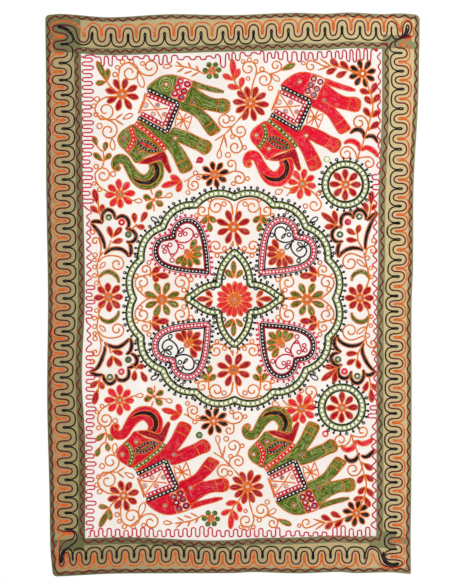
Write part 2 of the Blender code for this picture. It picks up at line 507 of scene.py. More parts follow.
def tapered(colour, points, half_width, outline="orange", power=0.5, profile=None, height=THREAD_HEIGHT):
    """A thick line in rows of stitches, with a thin line down each side.

    It narrows at both ends, or has the shares of its half width that profile gives along it.
    """
    line, _ = evenly_spaced(smooth(points), 0.8)
    t = np.linspace(0, 1, len(line))
    if profile:
        shares = np.interp(t, np.linspace(0, 1, len(profile)), profile)
    else:
        shares = np.sin(math.pi * np.clip(t, 0.001, 0.999)) ** power
    normals = sideways(line, False)
    inner = np.maximum(half_width * shares - TAPER_INSET, 0.0)
    rows = 1 + math.ceil(2 * max(half_width - TAPER_INSET, 0.05) / LINE_PITCH)
    for k in range(rows):
        across = 2 * k / (rows - 1) - 1
        stitch(colour, line + normals * (inner * across)[:, None], height=height, packed=True)
    if outline:
        outer = half_width * shares + 0.4
        for side in (-1, 1):
            stitch(outline, line + normals * (side * outer)[:, None], width=3.0, height=height)


def inside(points, polygon):
    """Which points lie inside a closed polygon."""
    x, y = points[:, 0][:, None], points[:, 1][:, None]
    ax, ay = polygon[:, 0][None], polygon[:, 1][None]
    bx, by = np.roll(polygon[:, 0], -1)[None], np.roll(polygon[:, 1], -1)[None]
    crosses = ((ay > y) != (by > y)) & (x < (bx - ax) * (y - ay) / np.where(by == ay, 1e-9, by - ay) + ax)
    return crosses.sum(axis=1) % 2 == 1


def edge_distance(points, polygon):
    """Each point's distance to a closed polygon's edge."""
    best = np.full(len(points), 1e9)
    for a, b in zip(polygon, np.roll(polygon, -1, axis=0)):
        d = b - a
        t = np.clip(((points - a) @ d) / max(float(d @ d), 1e-12), 0, 1)
        best = np.minimum(best, np.linalg.norm(points - a - t[:, None] * d, axis=1))
    return best


def contours(grid, level, x0, y0, step):
    """Closed lines of one level over a grid, by marching squares. Each ends where it starts."""
    above = grid > level
    corner = above[:-1, :-1]
    mixed = (corner != above[1:, :-1]) | (corner != above[:-1, 1:]) | (corner != above[1:, 1:])
    places, links = {}, {}
    for i, j in np.argwhere(mixed).tolist():
        corners = [(i, j), (i, j + 1), (i + 1, j + 1), (i + 1, j)]
        found = []
        for a, b in zip(corners, corners[1:] + corners[:1]):
            if above[a] != above[b]:
                t = (level - grid[a]) / (grid[b] - grid[a])
                edge = (min(a, b), max(a, b))
                down, across = between(a, b, t)
                places[edge] = (x0 + step * across, y0 + step * down)
                found.append(edge)
        for one, other in zip(found[::2], found[1::2]):
            links.setdefault(one, []).append(other)
            links.setdefault(other, []).append(one)
    lines = []
    while links:
        line = [next(iter(links))]
        while len(line) == 1 or line[-1] != line[0]:
            here = line[-1]
            there = links[here].pop()
            links[there].remove(here)
            if not links[here]:
                del links[here]
            line.append(there)
        del links[line[0]]
        lines.append(np.array([places[edge] for edge in line]))
    return lines


# Filled shapes, in pixels: how far the underlay's points are apart, and how far the first row lies
# inside the edge
UNDERLAY_STEP = 1.3
FILL_INSET = 0.9


def underlay(colour, xs, ys, grid):
    """A thin felted layer under a filled shape, so that no ground shows between its rows."""
    jump = round(UNDERLAY_STEP / FILL_STEP)
    rows, columns = np.arange(0, grid.shape[0], jump), np.arange(0, grid.shape[1], jump)
    within = grid[np.ix_(rows, columns)] > 0.15
    number = np.full(within.shape, -1)
    number[within] = np.arange(within.sum())
    gx, gy = np.meshgrid(xs[columns], ys[rows])
    a, b, c, d = number[:-1, :-1], number[1:, :-1], number[1:, 1:], number[:-1, 1:]
    whole = (a >= 0) & (b >= 0) & (c >= 0) & (d >= 0)
    points = HAND["place"](np.stack([gx[within], gy[within]], axis=-1))
    quads = np.stack([a[whole], b[whole], c[whole], d[whole]], axis=-1)
    corners = points[quads[0]]
    turn = np.cross(np.append(corners[1] - corners[0], 0), np.append(corners[2] - corners[1], 0))[2]
    if turn > 0:
        quads = quads[:, ::-1]
    heap(colour).add(points, np.full(len(points), 0.4 * MM), quads, points * 0.6)


def painted_highlights(colour, line):
    """Painted highlights: lighter thread over short runs of one row of a filled shape, for the sheen of the
    thread.
    """
    light = HIGHLIGHT_THREADS.get(HAND["dyes"].get(colour, colour))
    gap, width = (400, 1.5) if light == "rose" else (170, 2.0)
    at = HIGHLIGHT_DRAWS.randrange(0, gap)
    while light and at + 16 < len(line):
        end = at + HIGHLIGHT_DRAWS.randrange(16, 56)
        stitch(light, line[at:end], width=width, height=1.4, back=False)
        at = end + HIGHLIGHT_DRAWS.randrange(50, gap)


def fill(colour, outline, *holes):
    """Fills a closed outline but for holes with rows that follow it, and edges it with a thin line."""
    low, high = outline.min(axis=0) - 1, outline.max(axis=0) + 1
    xs, ys = np.arange(low[0], high[0], FILL_STEP), np.arange(low[1], high[1], FILL_STEP)
    gx, gy = np.meshgrid(xs, ys)
    points = np.stack([gx.ravel(), gy.ravel()], axis=-1)
    within = inside(points, outline)
    for hole in holes:
        within &= ~inside(points, hole)
    distance = np.full(len(points), -1.0)
    nearest = [edge_distance(points[within], line) for line in (outline, *holes)]
    distance[within] = np.min(nearest, axis=0)
    grid = distance.reshape(gx.shape)
    underlay(colour, xs, ys, grid)
    level = FILL_INSET
    while level < grid.max() - 0.1:
        for line in contours(grid, level, xs[0], ys[0], FILL_STEP):
            if len(line) > 4:
                softened = line.copy()
                softened[1:-1] = (line[:-2] + 2 * line[1:-1] + line[2:]) / 4
                stitch(colour, softened, packed=True)
                # Painted highlights along the row
                painted_highlights(colour, softened)
        level += ROW_PITCH
    stitch("orange", outline, width=3.5, height=1.45, closed=True)


def waves(path, half_width, half_pitch, phase):
    """A line that swings from side to side of a closed path."""
    spaced, total = evenly_spaced(path, 0.55)
    s = np.linspace(0, 1, len(spaced)) * (2 * round(total / half_pitch / 2)) * math.pi
    return spaced + sideways(spaced, True) * (half_width * np.sin(s + phase))[:, None]


def spread(path, pitch, closed=False):
    """Places spread evenly along a path, each with the path's unit normal there."""
    spaced, total = evenly_spaced(path, PATH_STEP)
    normals = sideways(spaced, closed)
    count = max(1, round(total / pitch))
    picks = [int((k + 0.5) / count * (len(spaced) - 1)) for k in range(count)]
    return [(spaced[i], normals[i]) for i in picks]


def dots(path, pitch, radius, height, long, colour="white", closed=False):
    """Raised knots along a path, longer than wide by long."""
    for place, normal in spread(path, pitch, closed):
        knot(colour, *place, radius, math.atan2(-normal[0], normal[1]), height, long)


KNOT_SIDES = 6


def knot(colour, x, y, radius, along=0.0, height=2.0, long=1.15):
    """One small dome of thread."""
    ends = np.array([(x, y), (x + math.cos(along), y + math.sin(along))])
    (x, y), (ahead_x, ahead_y) = HAND["place"](ends)
    along = math.atan2(ahead_y - y, ahead_x - x)
    n = KNOT_SIDES
    a = np.arange(n) * 2 * math.pi / n
    rings, heights = [], []
    for share, level in ((1.0, -0.3), (0.82, 0.7), (0.35, 1.0)):
        dx, dy = share * radius * long * np.cos(a), share * radius * np.sin(a)
        turned_x = x + dx * math.cos(along) - dy * math.sin(along)
        turned_y = y + dx * math.sin(along) + dy * math.cos(along)
        rings.append(np.stack([turned_x, turned_y], axis=-1))
        heights.append(np.full(n, level * height * MM))
    points = np.vstack(rings)
    quads = []
    for low in (0, n):
        for k in range(n):
            after = (k + 1) % n
            quads.append((low + after, low + k, low + n + k, low + n + after))
    quads += [(2 * n + 3, 2 * n + 2, 2 * n + 1, 2 * n), (2 * n + 5, 2 * n + 4, 2 * n + 3, 2 * n)]
    uvs = 0.5 + 0.3 * (points - (x, y))
    heap(colour).add(points, np.concatenate(heights), np.array(quads), uvs)


def picots(path, pitch, reach, colour, size, some_open=True):
    """Small knots that stand off a closed line, every third one open or none.

    reach is negative for knots against the line's normals.
    """
    for k, (place, normal) in enumerate(spread(path, pitch, closed=True)):
        out = normal * math.copysign(1.0, reach)
        lean = np.array([-out[1], out[0]]) * random.uniform(-0.5, 0.5)
        tip = place + out * (abs(reach) + size) + lean
        stitch(colour, np.array([place, (place + tip) / 2, tip]), width=4.8, back=False)
        if some_open and k % 3 == 2:
            berry(colour, *tip, 1.35, width=3.9)
        else:
            knot(colour, *tip, size, math.atan2(out[1], out[0]), height=1.5, long=1.1)


def circle(x, y, radius):
    """A closed circle whose last point is its first."""
    a = np.linspace(0, 2 * math.pi, max(9, int(radius * 7)))
    return np.stack([x + radius * np.cos(a), y + radius * np.sin(a)], axis=-1)


def joined(*runs):
    """Smooth runs that meet in corners."""
    return np.vstack([smooth(run) for run in runs])


def stroke(colour, x, y, tip_x, tip_y):
    """A short twig, two rows wide."""
    tapered(colour, [(x, y), ((x + tip_x) / 2, (y + tip_y) / 2), (tip_x, tip_y)], 1.1, outline=None)


def band(path, colour, half_width, pitch, knot_size, long, edge=None, closed=False, height=THREAD_HEIGHT):
    """Rows side by side, with white knots along the middle and a thin line down each edge."""
    rows = max(2, round(2 * half_width / LINE_PITCH) + 1)
    for k in range(rows):
        across = half_width * (2 * k / (rows - 1) - 1)
        stitch(colour, offset_line(path, across, closed), height=height, closed=closed)
    dots(path, pitch, knot_size, height + 0.9, long, closed=closed)
    for side in (-1, 1) if edge else ():
        stitch(edge, offset_line(path, side * (half_width + 1.0), closed), 3.2, height, closed=closed)


def disc(colour, x, y, radius, height=THREAD_HEIGHT):
    """A filled disc of rings side by side."""
    knot(colour, x, y, min(radius, 0.9), height=height)
    for k in range(int(radius / LINE_PITCH)):
        ring = circle(x, y, radius - 0.6 - LINE_PITCH * k)
        stitch(colour, ring, height=height, closed=True, back=k == 0)


def pearl_band(path, half_width, pitch, knot_size, outward, inner_width=4.8):
    """A closed band of two green rows that cross between white knots, on pale rows, edged in black.

    outward is 1 where the path's normals point outwards and -1 where they point inwards.
    """
    _, total = evenly_spaced(path, PATH_STEP)
    pitch = total / (2 * round(total / pitch / 2))
    for side in (-1, 0, 1):
        pale = offset_line(path, side * (half_width - 1.3), True)
        stitch("pale_green", pale, width=4.8, height=0.9, closed=True, back=False, packed=True)
    for side in (-1, 1):
        green = offset_line(path, side * (half_width - 0.9), True)
        stitch("green", green, width=2.9, closed=True, back=False)
    for phase in (0, math.pi):
        stitch("green", waves(path, half_width - 1.3, pitch, phase), width=3.7)
    dots(path, pitch, knot_size, 2.3, 1.1, "cream", closed=True)
    for side, width in ((outward, FINE_WIDTH), (-outward, inner_width)):
        stitch("black", offset_line(path, side * half_width, True), width, 1.4, closed=True)
    picots(offset_line(path, outward * half_width, True), 5.9, outward * 1.3, "black", size=1.45)


# The length of a leaf on a vine, as a share of the way from its foot to its tip
LEAF_REACH = 1.06


def spray(stems=(), berries=(), loops=(), leaves=None, twigs=(), colour="gold"):
    """One stretch of vine: its stems, open rings, open loops, filled leaves and twigs."""
    for row in stems:
        vine(colour, *row)
    for row in berries:
        berry(colour, *row)
    for row in loops:
        drop(colour, *row)
    for dye, rows in (leaves or {}).items():
        for x, y, tip_x, tip_y, half_width in rows:
            tip = (x + LEAF_REACH * (tip_x - x), y + LEAF_REACH * (tip_y - y))
            leaf(dye, (x, y), tip, half_width + 0.3)
    for row in twigs:
        stroke(colour, *row)


# Vines of the field. A stem is the places x, y that it passes, and before them, where it ends in a
# curl, the curl's turns and its centre x, y. A berry is x, y and radius. A loop or a leaf is its
# foot, its tip and its half width. A twig is its foot and tip.
UPPER_LEFT = {
    "stems": (
        (1.45, 130, 72.5, 119.5, 86, 118.5, 78, 119.5, 70, 122, 65.5),
        (-1.25, 150, 66.8, 132, 64.5, 137, 69, 143, 74, 149, 75.5),
        (-1.5, 105.5, 110.5, 117, 97, 107, 97, 100, 100.5),
        (1.35, 108.5, 130.8, 101, 116, 107, 119.5, 113, 122.5), (1.3, 103, 175.3, 97, 170.5, 101, 168),
        (103, 151, 104, 160, 102, 167, 98, 170, 95, 174, 96, 181, 100, 187, 108, 192),
        (101, 116, 108, 119.5, 115, 119.5), (107, 81.5, 110, 86, 115, 90),
        (97, 146, 100, 149.5, 103, 151.5), (127, 198, 131, 200, 134, 200.5), (145, 201, 149, 200),
        (154, 211.5, 153.7, 204), (150.5, 189, 152.5, 195), (157, 198.5, 165, 197),
    ),
    "berries": (
        (115, 74.5, 2.3), (117.5, 67.5, 2), (122.5, 62, 2.3), (131.5, 62, 2.3), (142.5, 63.5, 2),
        (97, 99, 2.5), (94, 106, 2.2), (96, 114.5, 2.2), (101, 117.5, 2), (99.5, 126, 2.7),
        (96, 166.5, 2.2), (113, 174, 2.5), (94, 183.5, 1.8), (99.5, 189.5, 2),
    ),
    "loops": (
        (137.5, 71, 143, 87.5, 3), (123, 119, 132.5, 114, 2.2), (112, 138.5, 113, 150, 2.5),
        (134, 200.5, 142, 201, 2.2), (165, 197, 172, 194, 2.2),
    ),
    "leaves": {
        "green": (
            (107, 81.5, 97.5, 62.5, 2.5), (107, 81, 108, 69.5, 2.3), (106, 82, 96.5, 83.5, 2.2),
            (97, 146, 93.5, 137, 2.2), (104.5, 151, 106, 142.5, 2.2), (102.5, 161, 94, 153.5, 2.2),
            (105, 160, 110.5, 154, 2.2), (154.7, 198, 161, 191.3, 2.7), (151.5, 199.3, 143.7, 196, 2.5),
            (152.3, 201, 147.5, 208.7, 2.5), (155.3, 201, 162.3, 205, 2.5),
        ),
    },
    "twigs": ((115, 119.5, 122.5, 113.5), (115, 119.5, 123.5, 125)),
}
TOP_MIDDLE = {
    "stems": (
        (208, 73, 203, 73.5, 199, 71, 191, 68, 183, 66.5, 175, 65.5),
        (234, 79, 236, 84, 240.5, 89, 247, 99),
        (-1.4, 248.5, 68.3, 251, 96, 252, 88, 254, 80, 256, 74, 256.5, 69),
        (1.4, 264.3, 79.5, 256, 74.5, 260, 72, 265, 71.5), (-1.3, 276, 65.6, 269.5, 74, 275, 72.5, 280, 70),
        (1.35, 225.3, 120, 232, 126, 225, 127.5), (-1.3, 240.2, 130.8, 231, 128, 232.5, 133.5, 238.5, 137),
        (1.3, 235.3, 147, 238.5, 137, 241.5, 143), (224.5, 134.5, 215, 140.5),
        (225, 134, 222, 142, 219.5, 150),
    ),
    "berries": (
        (243, 61.5, 1.8), (249.5, 60, 2.2), (256, 61.5, 2), (248, 78.5, 1.8), (262, 69, 2.2),
        (270.5, 88, 2.3), (232, 118.5, 2.5), (232.5, 136.5, 2), (244.5, 147.5, 2),
    ),
    "loops": ((172, 65.7, 163, 66.5, 2), (271, 74.5, 279.5, 80.5, 2.3), (219.8, 149, 219, 158.5, 2.2)),
    "leaves": {
        "red": (
            (234, 79.5, 232.5, 60.5, 2.5), (234.5, 79.5, 239, 69.5, 2.3), (233, 80, 223.5, 75, 2.3),
            (240.5, 88, 242.5, 78, 2.3), (239.5, 88.5, 228.5, 86, 2.3),
        ),
        "green": ((281, 70, 294.5, 64, 2.4),),
    },
    "twigs": (
        (191, 68, 188, 62), (183, 66.5, 176, 61), (199, 71, 196, 65.5), (184, 68, 177, 72),
        (192, 71, 184, 73.5), (199, 72, 191, 76.5), (247, 110, 236, 122.5), (236, 122.5, 225, 134),
        (224, 134.5, 227, 147.5),
    ),
}
UNDER_MIDDLE = {
    "stems": (
        (1.3, 239, 178.6, 219, 175.5, 227, 174, 234, 171, 240, 172),
        (-1.1, 231, 164.3, 235.5, 170.5, 236, 165), (209, 176, 202, 174.5, 195, 175, 189, 179, 184, 181.5),
        (-1.25, 194, 184.6, 189, 179, 188, 186),
    ),
    "berries": (
        (247.5, 178.5, 2), (233.5, 183.5, 2), (228, 155, 2.5), (195.5, 173, 2.2), (198.5, 178, 1.8),
        (188, 192.5, 2),
    ),
    "leaves": {
        "red": ((181, 181, 171, 176, 2.5), (181, 181, 162.5, 186, 2.5), (181.5, 181.5, 177.5, 191, 2.5)),
    },
}
UPPER_RIGHT = {
    "stems": (
        (-1.1, 311.2, 66, 331, 66, 324, 66, 318, 63, 311, 60.5),
        (362, 73.5, 355, 73, 349, 70, 340, 67, 332, 65.5),
        (
            365, 78, 368, 86, 371, 94, 372.5, 101, 373, 108, 371, 116, 369, 124, 367, 130, 364.5, 138,
            362.5, 145, 359.5, 152, 358, 159,
        ),
        (-1.3, 359.5, 122.5, 369, 131, 368.5, 125, 366.5, 119.5),
        (-1.4, 346.5, 153.6, 357.5, 160, 355.5, 152.5, 351.5, 148),
        (1.2, 368.8, 163, 357.5, 158.5, 364, 157, 369, 156.8), (297, 188, 290, 188.5, 283, 186.5),
        (296, 190, 291, 191.5, 286.5, 196), (1.3, 314.7, 205, 309, 189, 315, 194, 319, 199),
    ),
    "berries": ((303.5, 63, 1.8), (305.5, 206, 2.3), (319, 193, 2.2)),
    "loops": ((283, 190, 275.5, 193, 2.5),),
    "leaves": {
        "maroon": (
            (339, 66.5, 331, 60, 2.5), (337, 68, 327, 73, 2.5), (349, 69.5, 341, 62, 2.5),
            (347, 71.5, 337, 76.5, 2.5), (371.5, 93.5, 376, 83.5, 2.5), (370.5, 93.5, 360.5, 90, 2.5),
            (372.5, 103, 379.5, 95, 2.5), (371.5, 104, 365.5, 97, 2.5), (372, 117, 379.5, 110.5, 2.5),
            (370.5, 117, 364.5, 108.5, 2.5), (370, 129, 378.5, 122.5, 2.5),
        ),
    },
    "twigs": ((331, 66, 320, 58.5), (331, 66, 318, 70)),
}
# Flowers: x, y, petals, radius, angle of the first petal, colour and half width
FLOWERS = {
    "upper": (
        (122, 94, 8, 16.6, -75, "maroon", 2.5),
        (119.5, 194, 8, 14.8, -96, "red", 2.5),
        (250.5, 103, 10, 17.6, -104, "maroon", 2.4),
        (214.5, 174.5, 8, 14, -103, "black", 2.2),
        (362.5, 73.5, 8, 14.2, -105, "black", 2.2),
        (302.3, 183.7, 8, 14.6, -80, "red", 2.4),
    ),
    "lower": (
        (123.5, 495.8, 8, 15.8, 75, "maroon", 2.5),
        (119.5, 400.3, 8, 14.9, 90, "red", 2.6),
        (247.4, 487, 10, 17, 104, "maroon", 2.4),
        (213.5, 421, 8, 14.2, 104, "black", 2.2),
        (356.6, 513.3, 8, 13.4, 54, "black", 2.2),
        (301.2, 409, 8, 15.2, 80, "red", 2.5),
    ),
}
RINGED_FLOWERS = {"upper": (345.6, 184.5), "lower": (342, 407.8)}
# The small flower of round berries behind the left elephant
BERRY_CLUSTER = ((209, 64.7), (215.5, 65), (218.8, 70), (216, 76), (209.3, 76.3), (205.3, 70.5))
# Thick curved strokes: colour, half width, points x, y
CRESCENTS = {
    "upper": (
        ("black", 1.9, (350, 133.5), (354.5, 130), (359.5, 129.6), (363.3, 132.8), (364.3, 138.5)),
        ("black", 1.8, (365, 138), (370, 135.8), (374.8, 137.3), (378, 143)),
        ("red", 2.1, (344, 143.5), (349, 141), (354, 141.5), (358.5, 145), (360, 151)),
        ("red", 2.1, (361, 150.5), (366, 147.5), (371, 149), (375, 152), (378, 157)),
    ),
    "lower": (
        ("black", 2.0, (345, 455), (347.3, 459.5), (351.8, 461.3), (356.6, 459), (359.4, 453)),
        ("black", 1.9, (361.2, 455.5), (365.5, 457.2), (370, 455), (374.6, 449.5)),
        ("red", 2.2, (341.2, 445), (344.2, 449), (348.6, 450), (353.2, 447.3), (356, 440.3)),
        ("red", 2.2, (356.8, 440.5), (360.5, 443.3), (365, 443.6), (369.6, 441.6), (373.2, 438.3)),
    ),
}


def ringed_flower(x, y):
    """The round flower inside a braided ring."""
    pearl_band(circle(x, y, 20.4), 3.3, 4.7, 2.1, outward=-1, inner_width=5.8)
    flower(x, y, 8, 15.9, -90, "maroon", 2.5, inner=0.26)


# The elephant at the upper left. Each outline is closed, and its points are x, y.
RUMP = (
    (147, 89), (153, 81.5), (162, 76), (171, 74.6), (181, 76.6), (190, 80), (196, 87.5), (206, 95),
    (215, 98.5), (224, 98.7), (229.5, 102), (229.5, 110), (225, 113.3), (214, 111.4), (203.5, 109.8),
    (211, 117.5), (218, 126), (220.5, 130), (216, 133.5), (210, 135.5), (204, 128.5), (197, 118.5),
    (188, 112.5), (180, 109), (178.5, 103), (168, 98.5), (158, 94),
)
FORELEGS = (
    (168, 133), (173, 127.5), (181, 129.3), (192, 133.5), (202, 138.5), (209.5, 141.5), (211.8, 146.5),
    (208.5, 152.5), (203.5, 154.3), (196, 149.8), (187, 146), (178.5, 142.3), (184, 150.5), (190, 160.5),
    (192.5, 167.5), (188.5, 171.3), (181.5, 173), (177.5, 167), (173, 157), (168.5, 150), (162, 143),
    (150, 132.3), (141, 125.5), (137.5, 120.5), (152, 126.5),
)
HEAD = (
    (133, 124.5), (127, 127.5), (121, 132), (117.8, 138), (119, 144), (125, 150.5), (131, 157),
    (136.5, 162.8), (145, 156.8), (155, 153.5), (163, 151), (158, 144.5), (149, 136.5), (140, 129),
)
TRUNK = (
    (149.5, 163.3), (149.5, 169), (144.5, 174.6), (138.5, 171.5), (133, 164.5), (127.5, 156.5),
    (120.5, 154), (114.2, 156.5), (111.3, 163), (113, 169.3), (118, 171.2), (120.3, 167.5), (119, 163.5),
    (122.5, 164.5), (125.8, 171), (130.5, 180), (138, 187.5), (148, 189.4), (157, 186), (163, 176.5),
    (163.5, 169), (161, 161),
)
TRUNK_STRIPE = (
    (154, 163), (156.8, 168), (157, 173), (155, 178), (150.5, 181.8), (144, 182.6), (138, 181.3),
    (133, 178),
)
TUSK = (
    (137.5, 162.5), (147, 157.8), (155, 155), (163, 151), (166, 154.5), (168.8, 162.5), (171.2, 170.8),
    (169.3, 173), (166, 169), (162.3, 162.5), (159.5, 160.5), (154, 162.5), (146, 163.8),
)
TAIL_LINE = ((191.5, 83), (203, 86.8), (214, 89.8), (224, 92))
EYE_ABOVE = ((135.5, 141.5), (139, 140.6), (145, 141), (150, 143), (154.5, 146), (158.3, 150))
EYE_BELOW = (
    (158.3, 150), (154, 151.3), (149, 151), (145, 149.5), (141, 146.5), (137, 143.2), (135.5, 141.5),
)
FOREHEAD_BAND = (
    (131, 127), (131.5, 130.5), (133, 134), (133.5, 138), (132.3, 141.8), (131.2, 145.3), (128.3, 149),
    (126.5, 151),
)
NECK_BAND = ((135, 123), (140.5, 127.3), (147.7, 132), (153.8, 137.5), (160.2, 143), (165.5, 150))
# The saddle cloth's bands, from their first corner to their last
SADDLE_BLACK = (
    ((148, 89.8), (178.8, 103.4)), ((178.3, 103), (166.6, 132.6)), ((138, 117.6), (166.6, 132.4)),
)
SADDLE_MAROON = (((146.5, 94.3), (173, 105.5)), ((173, 106), (164.5, 125.5)), ((141.2, 113.2), (164, 125)))
SADDLE_LINES = (
    ((147, 98), (151, 103), (156, 109.5), (160, 116), (162.5, 120)),
    ((141, 110.5), (150, 109.8), (160, 109), (168, 108)),
    ((145.2, 92.5), (143.2, 100), (140.2, 108), (138.3, 114)),
    ((146.6, 93.5), (144.6, 100), (141.6, 108), (139.8, 113.2)), ((149.6, 92.8), (160, 97), (174.6, 103.6)),
    ((140, 115.2), (152, 121), (164.8, 127.8)),
)
SADDLE_SEQUINS = ((145.5, 105, 2.5), (157.5, 105, 2.2), (153, 114, 2.2), (164.5, 114.3, 2.2))
CROUP_EDGE = (
    ((178.3, 77), (184, 78.2), (191, 80.2)),
    ((191, 80.2), (192, 84), (188, 91), (184.8, 99.5), (182.8, 102.2)),
    ((182.8, 102.2), (177, 99), (171, 96.6)), ((171, 96.6), (174.5, 88), (178.3, 77)),
)
CROUP_MIDDLE = ((183.8, 78.5), (181, 88), (176.8, 99))
CROUP_RINGS = ((180.3, 81), (177.5, 87.3), (174.8, 93.3), (187.3, 84), (184, 91), (181.2, 97.2))
# Lines over the legs and feet
LEG_LINES = (
    ((219, 99), (218, 105), (216, 111.8)), ((204.5, 127), (209, 124.5), (213.5, 120.5)),
    ((200.5, 138.5), (199, 142.5), (195, 149)), ((176, 163.5), (182, 161), (188, 157.5)),
)
TOES = (
    (226.5, 101.8), (227.5, 106), (225.5, 110), (217, 127), (215, 131), (211, 132.3), (207.5, 144),
    (207.5, 148.2), (204, 151.3), (188.5, 165), (186.5, 168.8), (182, 169.8),
)
WEB_MIDDLE = (183, 119.7)
WEB_ENDS = (
    (179, 112), (186.5, 112.5), (190.5, 116), (189.5, 122.5), (187, 129.5), (180, 127.5), (176, 126),
    (176.5, 118.5),
)
WEB_SIDES = (
    ((179, 108.5), (178, 113), (176, 119), (175, 126.5)),
    ((191.8, 115.5), (190.8, 121), (188.8, 126.5), (187, 131)),
)


def straight(a, b, steps=6):
    t = np.linspace(0, 1, steps + 1)[:, None]
    return np.array(a, float) * (1 - t) + np.array(b, float) * t


def between(a, b, share):
    return a[0] + (b[0] - a[0]) * share, a[1] + (b[1] - a[1]) * share


def elephant(halo=False, ring_width=9.0, ring_colour="maroon"):
    """One elephant. Its body is green and its bands are red. A halo is pale rings on its rump."""
    bare = smooth([place for run in CROUP_EDGE for place in run[:-1]], closed=True)
    fill("green", smooth(RUMP, closed=True), bare)
    for outline in (FORELEGS, HEAD, TRUNK):
        fill("green", smooth(outline, closed=True))
    fill("maroon", smooth(TUSK, closed=True))
    tapered("green", TAIL_LINE, 2.5, profile=(1, 0.95, 0.9, 0.85, 0.8, 0.2))
    tapered("black", TRUNK_STRIPE, 2.3, profile=(1, 1, 1, 1, 0.9, 0.7, 0.3), height=OVER)
    stitch("orange", circle(117.5, 168, 2.8), height=OVER, closed=True)
    head_marks()
    saddle()
    croup(ring_width, ring_colour)
    for line in LEG_LINES:
        stitch("orange", smooth(line), width=FINE_WIDTH, height=OVER)
    for x, y in TOES:
        stitch("orange", circle(x, y, 1.6), width=2.8, height=OVER, closed=True)
    for x, y in ((166, 84.3), (192, 102.7), (175, 138)):
        sequin(x, y, "orange", 2.3, lift=1.6)
    for radius in (4.2, 6.6) if halo else ():
        stitch("pale_green", circle(166, 84.3, radius), width=3.2, height=1.7, closed=True, back=False)
    stitch("orange", smooth(((193.5, 104), (198, 107), (204.5, 110.5))), width=4.0, height=OVER)
    web()


def head_marks():
    band(smooth(FOREHEAD_BAND), "red", 1.35, 3.9, 0.9, 1.15, "orange", height=OVER)
    band(smooth(NECK_BAND), "red", 1.15, 4.6, 1.1, 1.15, "orange", height=OVER)
    eye = joined(EYE_ABOVE, EYE_BELOW)
    for outward in (-0.5, 0.5):
        stitch("black", offset_line(eye, outward, closed=True), width=4.4, height=OVER, closed=True)
    dots(eye, 3.3, 0.55, OVER + 0.6, 1.6, closed=True)
    stitch("orange", offset_line(eye, -1.7, closed=True), width=3.0, height=OVER, closed=True)
    tapered("red", ((138.5, 142), (146, 145), (152, 148.3), (156.5, 149.6)), 1.7, outline=None, height=OVER)
    for start, end in (((137.5, 151.8), (145, 151.2)), ((123.7, 138.5), (118.5, 138.5))):
        sequin(*start, "orange", 2.4, lift=1.6)
        stitch("orange", straight(between(start, end, 0.35), end), width=3.4, height=OVER)


def saddle():
    """The saddle cloth: knotted bands on three sides, and sequins and lines on the bare ground."""
    for start, end in SADDLE_BLACK:
        band(straight(start, end, 12), "black", 1.5, 4.0, 0.95, 1.4, height=1.9)
    for start, end in SADDLE_MAROON:
        band(straight(start, end, 12), "crimson", 1.6, 4.1, 1.3, 1.0, height=1.6)
    for line in SADDLE_LINES:
        stitch("orange", smooth(line), width=5.0, height=1.3)
    for x, y, radius in SADDLE_SEQUINS:
        sequin(x, y, "orange", radius)


def croup(ring_width, colour):
    """The strip of rings on the bare ground behind the saddle."""
    for run in CROUP_EDGE + (CROUP_MIDDLE,):
        stitch("orange", smooth(run), width=3.8, height=1.4)
    for x, y in CROUP_RINGS:
        stitch(colour, circle(x, y, 2.5), width=ring_width, height=1.5, closed=True)
        bare_sequin(x, y)


def web():
    """Radial lines between the two pairs of legs."""
    for end in WEB_ENDS:
        stitch("orange", straight(WEB_MIDDLE, end), width=5.0)
    for line in WEB_SIDES:
        stitch("orange", smooth(line), width=FINE_WIDTH, height=1.4)
    disc("orange", *WEB_MIDDLE, 2.2, height=1.5)


# The round medallion. Its quarter at the upper left is drawn, and turned over for the others.
MIDDLE = (234.5, 298.5)
LOBES = 16
RING_RADIUS = 101.2
LOBE_RISE = 5.6
# A heart's two sides: from its notch to its point, and back
HEART = (
    (
        (173, 237), (173.4, 233), (175, 228), (178, 224), (182, 221.4), (187, 220.2), (192.5, 221.3),
        (197, 224.5), (200.5, 230), (203.5, 238), (205.4, 248), (206.7, 260), (207.5, 272.5),
    ),
    (
        (207.5, 272.5), (200, 271.6), (190, 270.8), (180, 269.5), (170, 267.4), (163, 264.3), (158.2, 260),
        (155.8, 255), (155.3, 250), (156.5, 245), (159.2, 241), (163.2, 238.6), (168, 237.5), (173, 237),
    ),
)
QUATREFOIL_QUARTER = (
    ((0, -46.5), (-6.5, -40), (-12, -31.5), (-15, -22), (-15.5, -14.2)),
    ((-15.5, -14.2), (-25, -13), (-34, -9), (-41, -4), (-47.5, 0)),
)
DARK_SCROLLS = {
    "stems": (
        (
            176.5, 241, 181, 242.4, 186, 242.2, 190.3, 239.8, 193, 236, 193, 232, 190.8, 229.2, 187.3, 228,
            184.3, 229, 182.4, 232, 181.5, 233.5,
        ),
        (
            176.5, 241.5, 178.2, 246, 177.5, 250, 175, 254, 172, 256.6, 169.6, 253, 168, 249, 166.8, 246,
            166.3, 244.5,
        ),
        (170.3, 253.6, 172.8, 254, 175.2, 253.6),
    ),
    "berries": (
        (196.2, 235.6, 2), (172, 260.2, 2.2), (180, 229.8, 2), (180.2, 234.8, 1.8), (185.2, 233.8, 1.9),
        (170, 244.8, 2), (163.7, 246.7, 1.9), (164.7, 251.5, 1.9),
    ),
    "loops": ((178.3, 244, 183.6, 248.6, 1.8),),
}
